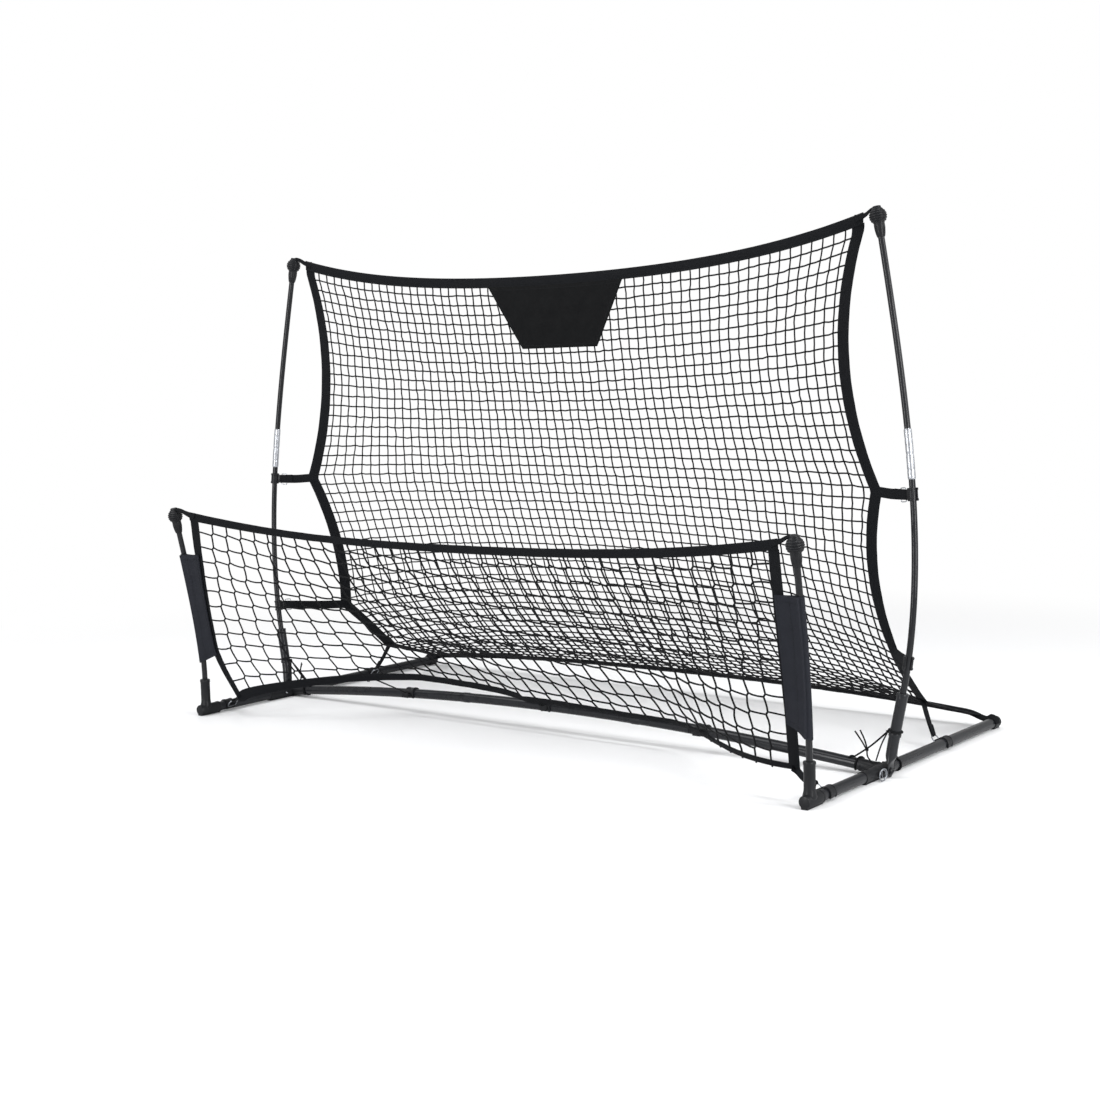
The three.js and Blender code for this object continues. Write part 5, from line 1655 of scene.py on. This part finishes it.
def rebound_lashing_cords():
    """Thin cords knotted between the crossbar, the upright and the rail at each corner."""
    radius = bpy.context.scene.rebound_fabric.cord / 2
    bar_x = 0.955
    bar = np.array((bar_x, CROSSBAR_Y, crossbar_height(bar_x)))
    wind = TUBE_R + radius
    for side, sign in SIDES:
        shape = Shape()
        turns = []
        for angle in np.linspace(-0.6, 2 * math.pi + 0.9, 20):
            turns.append(bar + np.array((0.004 * angle, wind * math.sin(angle), wind * math.cos(angle))))
        add_tube(shape, smooth_path(turns, 90), radius, 10)
        start = bar + point(0.01, 0.0, wind)
        knot = point(1.0515, -0.106, 0.112)
        up_line = smooth_path([start, (start + knot) / 2 + point(0, 0, -0.004), knot], 30)
        add_tube(shape, up_line, radius, 10)
        at = UPRIGHT_FOOT + UPRIGHT_AXIS * 0.040
        girth = 2 * wind + 0.0006
        loop = ring_path(at, (1, 0, -0.2), (0, 1, 0), girth, girth, 60)
        add_tube(shape, loop, radius, 10, closed_path=True)
        down = [at + point(0.004, 0.0165, -0.001), point(1.060, -0.070, 0.078),
                point(1.044, -0.046, 0.036)]
        add_tube(shape, smooth_path(down, 26), radius, 10)
        centre = (RAIL_X, -0.045, RAIL_Z)
        rail_loop = ring_path(centre, (1, 0.12, 0), (0, 0, 1), 2 * wind, 2 * wind - 0.0004, 60)
        add_tube(shape, rail_loop, radius * 0.9, 10, closed_path=True)
        add_beads(shape, [knot, point(1.043, -0.045, 0.0355)],
                  [np.diag((0.0052, 0.0045, 0.0040)), np.diag((0.0046, 0.0040, 0.0036))])
        for tail in (
            [start + point(0.032, 0, 0.020), start + point(0.026, -0.012, 0.042),
             start + point(0.010, -0.018, 0.068)],
            [start + point(0.034, 0, 0.021), start + point(0.030, -0.006, 0.046),
             start + point(0.020, -0.010, 0.070)],
            [start + point(0.033, 0, 0.019), start + point(0.040, -0.010, 0.006),
             point(1.018, -0.128, 0.036)],
            [knot, point(1.040, -0.118, 0.080), point(1.030, -0.128, 0.040)],
        ):
            add_tube(shape, smooth_path(tail, 20), radius * 0.85, 8)
        add_beads(shape, [start + point(0.033, 0, 0.020)], [np.diag((0.0050, 0.0042, 0.0042))])
        made = shape.mirrored(sign).build(f"corner_lashing_{side}", finishes("cord"), 60)
        bend_piece(made, "base", "rear_frame", (sign * 1.06, -0.11, 0.040), (sign * 1.06, -0.11, 0.104),
                   "cord", f"lashing_cord_{side}")


def rebound_hem_ties():
    """Short cords from the front net's hem to the clips on the crossbar."""
    radius = bpy.context.scene.rebound_fabric.cord / 2 * 0.8
    for name, x, hem_u in (("centre", 0.0, 0.0), ("right", HEM_CLIP_X, 0.53), ("left", -HEM_CLIP_X, -0.60)):
        hem = front_surface(hem_u, 0.985)
        clip = np.array((x, CROSSBAR_Y - 0.019, crossbar_height(x) + 0.002))
        shape = Shape()
        lift = point(0, 0, 0.004)
        for offset in (-0.003, 0.003):
            shift = point(offset, 0, 0)
            route = [hem + shift + point(0, 0.002, -0.010), hem + shift + point(0, 0.006, 0.002),
                     (hem + clip) / 2 + shift * 0.5 + lift, clip + shift * 0.4]
            add_tube(shape, smooth_path(route, 24), radius, 8)
        add_beads(shape, [clip + lift * 0.3, hem + point(0, 0.005, 0.003)],
                  [np.diag((0.0048, 0.0038, 0.0036)), np.diag((0.0042, 0.0036, 0.0034))])
        made = shape.build(f"hem_tie_{name}", finishes("cord"), 60)
        place_piece(made, "base", "cord")


# ---- stage ------------------------------------------------


# The camera: yaw, pitch and roll in degrees, lens and sensor in millimetres, place in metres.
CAMERA_TURN = (38.17, 5.89, -1.467)
CAMERA_LENS = 55.68
CAMERA_SENSOR = 36.0
CAMERA_PLACE = (2.939, -3.825, 1.001)


def rebound_stage():
    """A pale floor, soft lights and the camera."""
    settings = bpy.context.scene.rebound_stage
    scene = bpy.context.scene
    half = settings.floor_size / 2
    mesh = bpy.data.meshes.new("studio_floor")
    corners = [(-half, -half, 0), (half, -half, 0), (half, half, 0), (-half, half, 0)]
    mesh.from_pydata(corners, [], [(0, 1, 2, 3)])
    mesh.materials.append(floor_finish(tuple(settings.floor_colour)))
    floor = bpy.data.objects.new("studio_floor", mesh)
    scene.collection.objects.link(floor)
    floor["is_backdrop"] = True

    world = bpy.data.worlds.new("studio_sky")
    world.use_nodes = True
    # White round the horizon and dimmer overhead, as in a studio with lit walls.
    tree = world.node_tree
    sky = tree.nodes["Background"]
    sky.inputs["Color"].default_value = (1, 1, 1, 1)
    direction = tree.nodes.new("ShaderNodeTexCoord")
    parts = tree.nodes.new("ShaderNodeSeparateXYZ")
    fade = tree.nodes.new("ShaderNodeMapRange")
    for socket, value in (("From Min", 0.30), ("From Max", 0.60), ("To Min", 1.0), ("To Max", 0.55)):
        fade.inputs[socket].default_value = value
    tree.links.new(direction.outputs["Generated"], parts.inputs[0])
    tree.links.new(parts.outputs["Z"], fade.inputs["Value"])
    tree.links.new(fade.outputs["Result"], sky.inputs["Strength"])
    scene.world = world

    for name, place, size, power in (
        ("key_light", (-2.6, -2.2, 4.6), 3.4, settings.key_power),
        ("fill_light", (4.2, 1.2, 2.6), 2.6, settings.fill_power),
    ):
        light = bpy.data.lights.new(name, "AREA")
        light.size, light.energy = size, power
        lamp = bpy.data.objects.new(name, light)
        lamp.location = place
        lamp.rotation_euler = (Vector((0, 0, 0.3)) - Vector(place)).to_track_quat("-Z", "Y").to_euler()
        scene.collection.objects.link(lamp)

    for name, place, size, aim in (
        ("right_strip", (4.6, -1.3, 1.2), (1.0, 2.4), (0, 0, 1.1)),
        ("front_strip", (-0.9, -4.6, 1.2), (1.0, 2.4), (0, 0, 1.1)),
        ("top_strip", (2.3, -0.2, 2.5), (0.3, 3.4), (RAIL_X, -0.2, 0)),
    ):
        light = bpy.data.lights.new(name, "AREA")
        light.shape = "RECTANGLE"
        light.size, light.size_y = size
        light.energy = settings.strip_power * size[0] * size[1]
        lamp = bpy.data.objects.new(name, light)
        lamp.location = place
        toward = Vector(aim) - Vector(place)
        lamp.rotation_euler = toward.to_track_quat("-Z", "Y").to_euler()
        lamp.visible_camera = False
        scene.collection.objects.link(lamp)

    yaw, pitch, roll = (math.radians(a) for a in CAMERA_TURN)
    look = Vector((-math.sin(yaw) * math.cos(pitch), math.cos(yaw) * math.cos(pitch), -math.sin(pitch)))
    level = Vector((math.cos(yaw), math.sin(yaw), 0))
    above = level.cross(look)
    right = level * math.cos(roll) + above * math.sin(roll)
    up = above * math.cos(roll) - level * math.sin(roll)
    data = bpy.data.cameras.new("camera")
    data.lens, data.sensor_width = CAMERA_LENS, CAMERA_SENSOR
    camera = bpy.data.objects.new("camera", data)
    turn = Matrix((right, up, -look)).transposed()
    camera.matrix_world = Matrix.Translation(CAMERA_PLACE) @ turn.to_4x4()
    scene.collection.objects.link(camera)
    scene.camera = camera
    scene.view_settings.view_transform = "Standard"


# ---- the add-on ------------------------------------------------------------------------------------


class CanBeUndone:
    """Shared by the operators below."""

    bl_options = {"REGISTER", "UNDO"}


class REBOUND_OT_stage(CanBeUndone, bpy.types.Operator):
    """Add the floor, lights and camera"""

    bl_idname = "rebound.stage"
    bl_label = "Stage"

    def execute(self, context):
        rebound_stage()
        return {"FINISHED"}


class REBOUND_OT_side_rails(CanBeUndone, bpy.types.Operator):
    """Add the front and rear side tubes"""

    bl_idname = "rebound.side_rails"
    bl_label = "Side rails"

    def execute(self, context):
        rebound_side_rails()
        return {"FINISHED"}


class REBOUND_OT_end_plugs(CanBeUndone, bpy.types.Operator):
    """Add the plugs at the rear ends of the rails"""

    bl_idname = "rebound.end_plugs"
    bl_label = "End plugs"

    def execute(self, context):
        rebound_end_plugs()
        return {"FINISHED"}


class REBOUND_OT_front_tees(CanBeUndone, bpy.types.Operator):
    """Add the tees that hold the front rods"""

    bl_idname = "rebound.front_tees"
    bl_label = "Front tees"

    def execute(self, context):
        rebound_front_tees()
        return {"FINISHED"}


class REBOUND_OT_junction_brackets(CanBeUndone, bpy.types.Operator):
    """Add the brackets where rails, crossbar and uprights meet"""

    bl_idname = "rebound.junction_brackets"
    bl_label = "Junction brackets"

    def execute(self, context):
        rebound_junction_brackets()
        return {"FINISHED"}


class REBOUND_OT_crossbar(CanBeUndone, bpy.types.Operator):
    """Add the three sections of the crossbar"""

    bl_idname = "rebound.crossbar"
    bl_label = "Crossbar"

    def execute(self, context):
        rebound_crossbar()
        return {"FINISHED"}


class REBOUND_OT_hem_clips(CanBeUndone, bpy.types.Operator):
    """Add the clips that hold the front hem to the crossbar"""

    bl_idname = "rebound.hem_clips"
    bl_label = "Hem clips"

    def execute(self, context):
        rebound_hem_clips()
        return {"FINISHED"}


class REBOUND_OT_pivot_bolts(CanBeUndone, bpy.types.Operator):
    """Add the bolts that the rear frame folds on"""

    bl_idname = "rebound.pivot_bolts"
    bl_label = "Pivot bolts"

    def execute(self, context):
        rebound_pivot_bolts()
        return {"FINISHED"}


class REBOUND_OT_lock_pins(CanBeUndone, bpy.types.Operator):
    """Add the pull pins and their rings"""

    bl_idname = "rebound.lock_pins"
    bl_label = "Lock pins"

    def execute(self, context):
        rebound_lock_pins()
        return {"FINISHED"}


class REBOUND_OT_uprights(CanBeUndone, bpy.types.Operator):
    """Add the flattened steel uprights"""

    bl_idname = "rebound.uprights"
    bl_label = "Uprights"

    def execute(self, context):
        rebound_uprights()
        return {"FINISHED"}


class REBOUND_OT_poles(CanBeUndone, bpy.types.Operator):
    """Add the glass-fibre rods"""

    bl_idname = "rebound.poles"
    bl_label = "Poles"

    def execute(self, context):
        rebound_poles()
        return {"FINISHED"}


class REBOUND_OT_ferrules(CanBeUndone, bpy.types.Operator):
    """Add the steel sleeves at the joints of the rods"""

    bl_idname = "rebound.ferrules"
    bl_label = "Ferrules"

    def execute(self, context):
        rebound_ferrules()
        return {"FINISHED"}


class REBOUND_OT_ball_ends(CanBeUndone, bpy.types.Operator):
    """Add the ribbed balls on the tips of the rods"""

    bl_idname = "rebound.ball_ends"
    bl_label = "Ball ends"

    def execute(self, context):
        rebound_ball_ends()
        return {"FINISHED"}


class REBOUND_OT_bar_clamps(CanBeUndone, bpy.types.Operator):
    """Add the snap clips on the rails"""

    bl_idname = "rebound.bar_clamps"
    bl_label = "Bar clamps"

    def execute(self, context):
        rebound_bar_clamps()
        return {"FINISHED"}


class REBOUND_OT_pole_clamps(CanBeUndone, bpy.types.Operator):
    """Add the snap clips on the rear rods"""

    bl_idname = "rebound.pole_clamps"
    bl_label = "Pole clamps"

    def execute(self, context):
        rebound_pole_clamps()
        return {"FINISHED"}


class REBOUND_OT_rear_net(CanBeUndone, bpy.types.Operator):
    """Add the tall net"""

    bl_idname = "rebound.rear_net"
    bl_label = "Rear net"

    def execute(self, context):
        rebound_rear_net()
        return {"FINISHED"}


class REBOUND_OT_rear_tapes(CanBeUndone, bpy.types.Operator):
    """Add the tapes round the tall net"""

    bl_idname = "rebound.rear_tapes"
    bl_label = "Rear tapes"

    def execute(self, context):
        rebound_rear_tapes()
        return {"FINISHED"}


class REBOUND_OT_target_panel(CanBeUndone, bpy.types.Operator):
    """Add the cloth target panel"""

    bl_idname = "rebound.target_panel"
    bl_label = "Target panel"

    def execute(self, context):
        rebound_target_panel()
        return {"FINISHED"}


class REBOUND_OT_front_net(CanBeUndone, bpy.types.Operator):
    """Add the front net"""

    bl_idname = "rebound.front_net"
    bl_label = "Front net"

    def execute(self, context):
        rebound_front_net()
        return {"FINISHED"}


class REBOUND_OT_front_tape(CanBeUndone, bpy.types.Operator):
    """Add the tapes round the front net"""

    bl_idname = "rebound.front_tape"
    bl_label = "Front tape"

    def execute(self, context):
        rebound_front_tape()
        return {"FINISHED"}


class REBOUND_OT_rod_straps(CanBeUndone, bpy.types.Operator):
    """Add the straps from the tall net to the rods"""

    bl_idname = "rebound.rod_straps"
    bl_label = "Rod straps"

    def execute(self, context):
        rebound_rod_straps()
        return {"FINISHED"}


class REBOUND_OT_rail_straps(CanBeUndone, bpy.types.Operator):
    """Add the straps from the nets to the rails"""

    bl_idname = "rebound.rail_straps"
    bl_label = "Rail straps"

    def execute(self, context):
        rebound_rail_straps()
        return {"FINISHED"}


class REBOUND_OT_pole_sleeves(CanBeUndone, bpy.types.Operator):
    """Add the cloth sleeves round the front rods"""

    bl_idname = "rebound.pole_sleeves"
    bl_label = "Pole sleeves"

    def execute(self, context):
        rebound_pole_sleeves()
        return {"FINISHED"}


class REBOUND_OT_lashing_cords(CanBeUndone, bpy.types.Operator):
    """Add the knotted cords at the corners"""

    bl_idname = "rebound.lashing_cords"
    bl_label = "Lashing cords"

    def execute(self, context):
        rebound_lashing_cords()
        return {"FINISHED"}


class REBOUND_OT_hem_ties(CanBeUndone, bpy.types.Operator):
    """Add the short cords along the front hem"""

    bl_idname = "rebound.hem_ties"
    bl_label = "Hem ties"

    def execute(self, context):
        rebound_hem_ties()
        return {"FINISHED"}


PIECES = (
    REBOUND_OT_stage,
    REBOUND_OT_side_rails,
    REBOUND_OT_end_plugs,
    REBOUND_OT_front_tees,
    REBOUND_OT_junction_brackets,
    REBOUND_OT_crossbar,
    REBOUND_OT_hem_clips,
    REBOUND_OT_pivot_bolts,
    REBOUND_OT_lock_pins,
    REBOUND_OT_uprights,
    REBOUND_OT_poles,
    REBOUND_OT_ferrules,
    REBOUND_OT_ball_ends,
    REBOUND_OT_bar_clamps,
    REBOUND_OT_pole_clamps,
    REBOUND_OT_rear_net,
    REBOUND_OT_rear_tapes,
    REBOUND_OT_target_panel,
    REBOUND_OT_front_net,
    REBOUND_OT_front_tape,
    REBOUND_OT_rod_straps,
    REBOUND_OT_rail_straps,
    REBOUND_OT_pole_sleeves,
    REBOUND_OT_lashing_cords,
    REBOUND_OT_hem_ties,
)

SETTINGS = (
    ("rebound_nets", ReboundNetSettings),
    ("rebound_fabric", ReboundFabricSettings),
    ("rebound_frame", ReboundFrameSettings),
    ("rebound_stage", ReboundStageSettings),
)


class REBOUND_PT_panel(bpy.types.Panel):
    """The settings and the pieces in the sidebar of the 3D view"""

    bl_label = "Pitch Back Rebounder"
    bl_idname = "REBOUND_PT_panel"
    bl_space_type = "VIEW_3D"
    bl_region_type = "UI"
    bl_category = "Rebounder"

    def draw(self, context):
        for name, group in SETTINGS:
            box = self.layout.box()
            settings = getattr(context.scene, name)
            for prop in group.__annotations__:
                box.prop(settings, prop)
        for piece in PIECES:
            self.layout.operator(piece.bl_idname)


def register():
    for name, group in SETTINGS:
        bpy.utils.register_class(group)
        setattr(bpy.types.Scene, name, PointerProperty(type=group))
    for piece in PIECES:
        bpy.utils.register_class(piece)
    bpy.utils.register_class(REBOUND_PT_panel)


def unregister():
    bpy.utils.unregister_class(REBOUND_PT_panel)
    for piece in reversed(PIECES):
        bpy.utils.unregister_class(piece)
    for name, group in reversed(SETTINGS):
        delattr(bpy.types.Scene, name)
        bpy.utils.unregister_class(group)


def main():
    register()
    for piece in PIECES:
        group, name = piece.bl_idname.split(".")
        getattr(getattr(bpy.ops, group), name)()
    {"cad": plain(CAD_BOX), "visual": plain(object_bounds())}


def plain(box):
    return [[float(x) for x in corner] for corner in box]


if __name__ == "__main__":
    main()
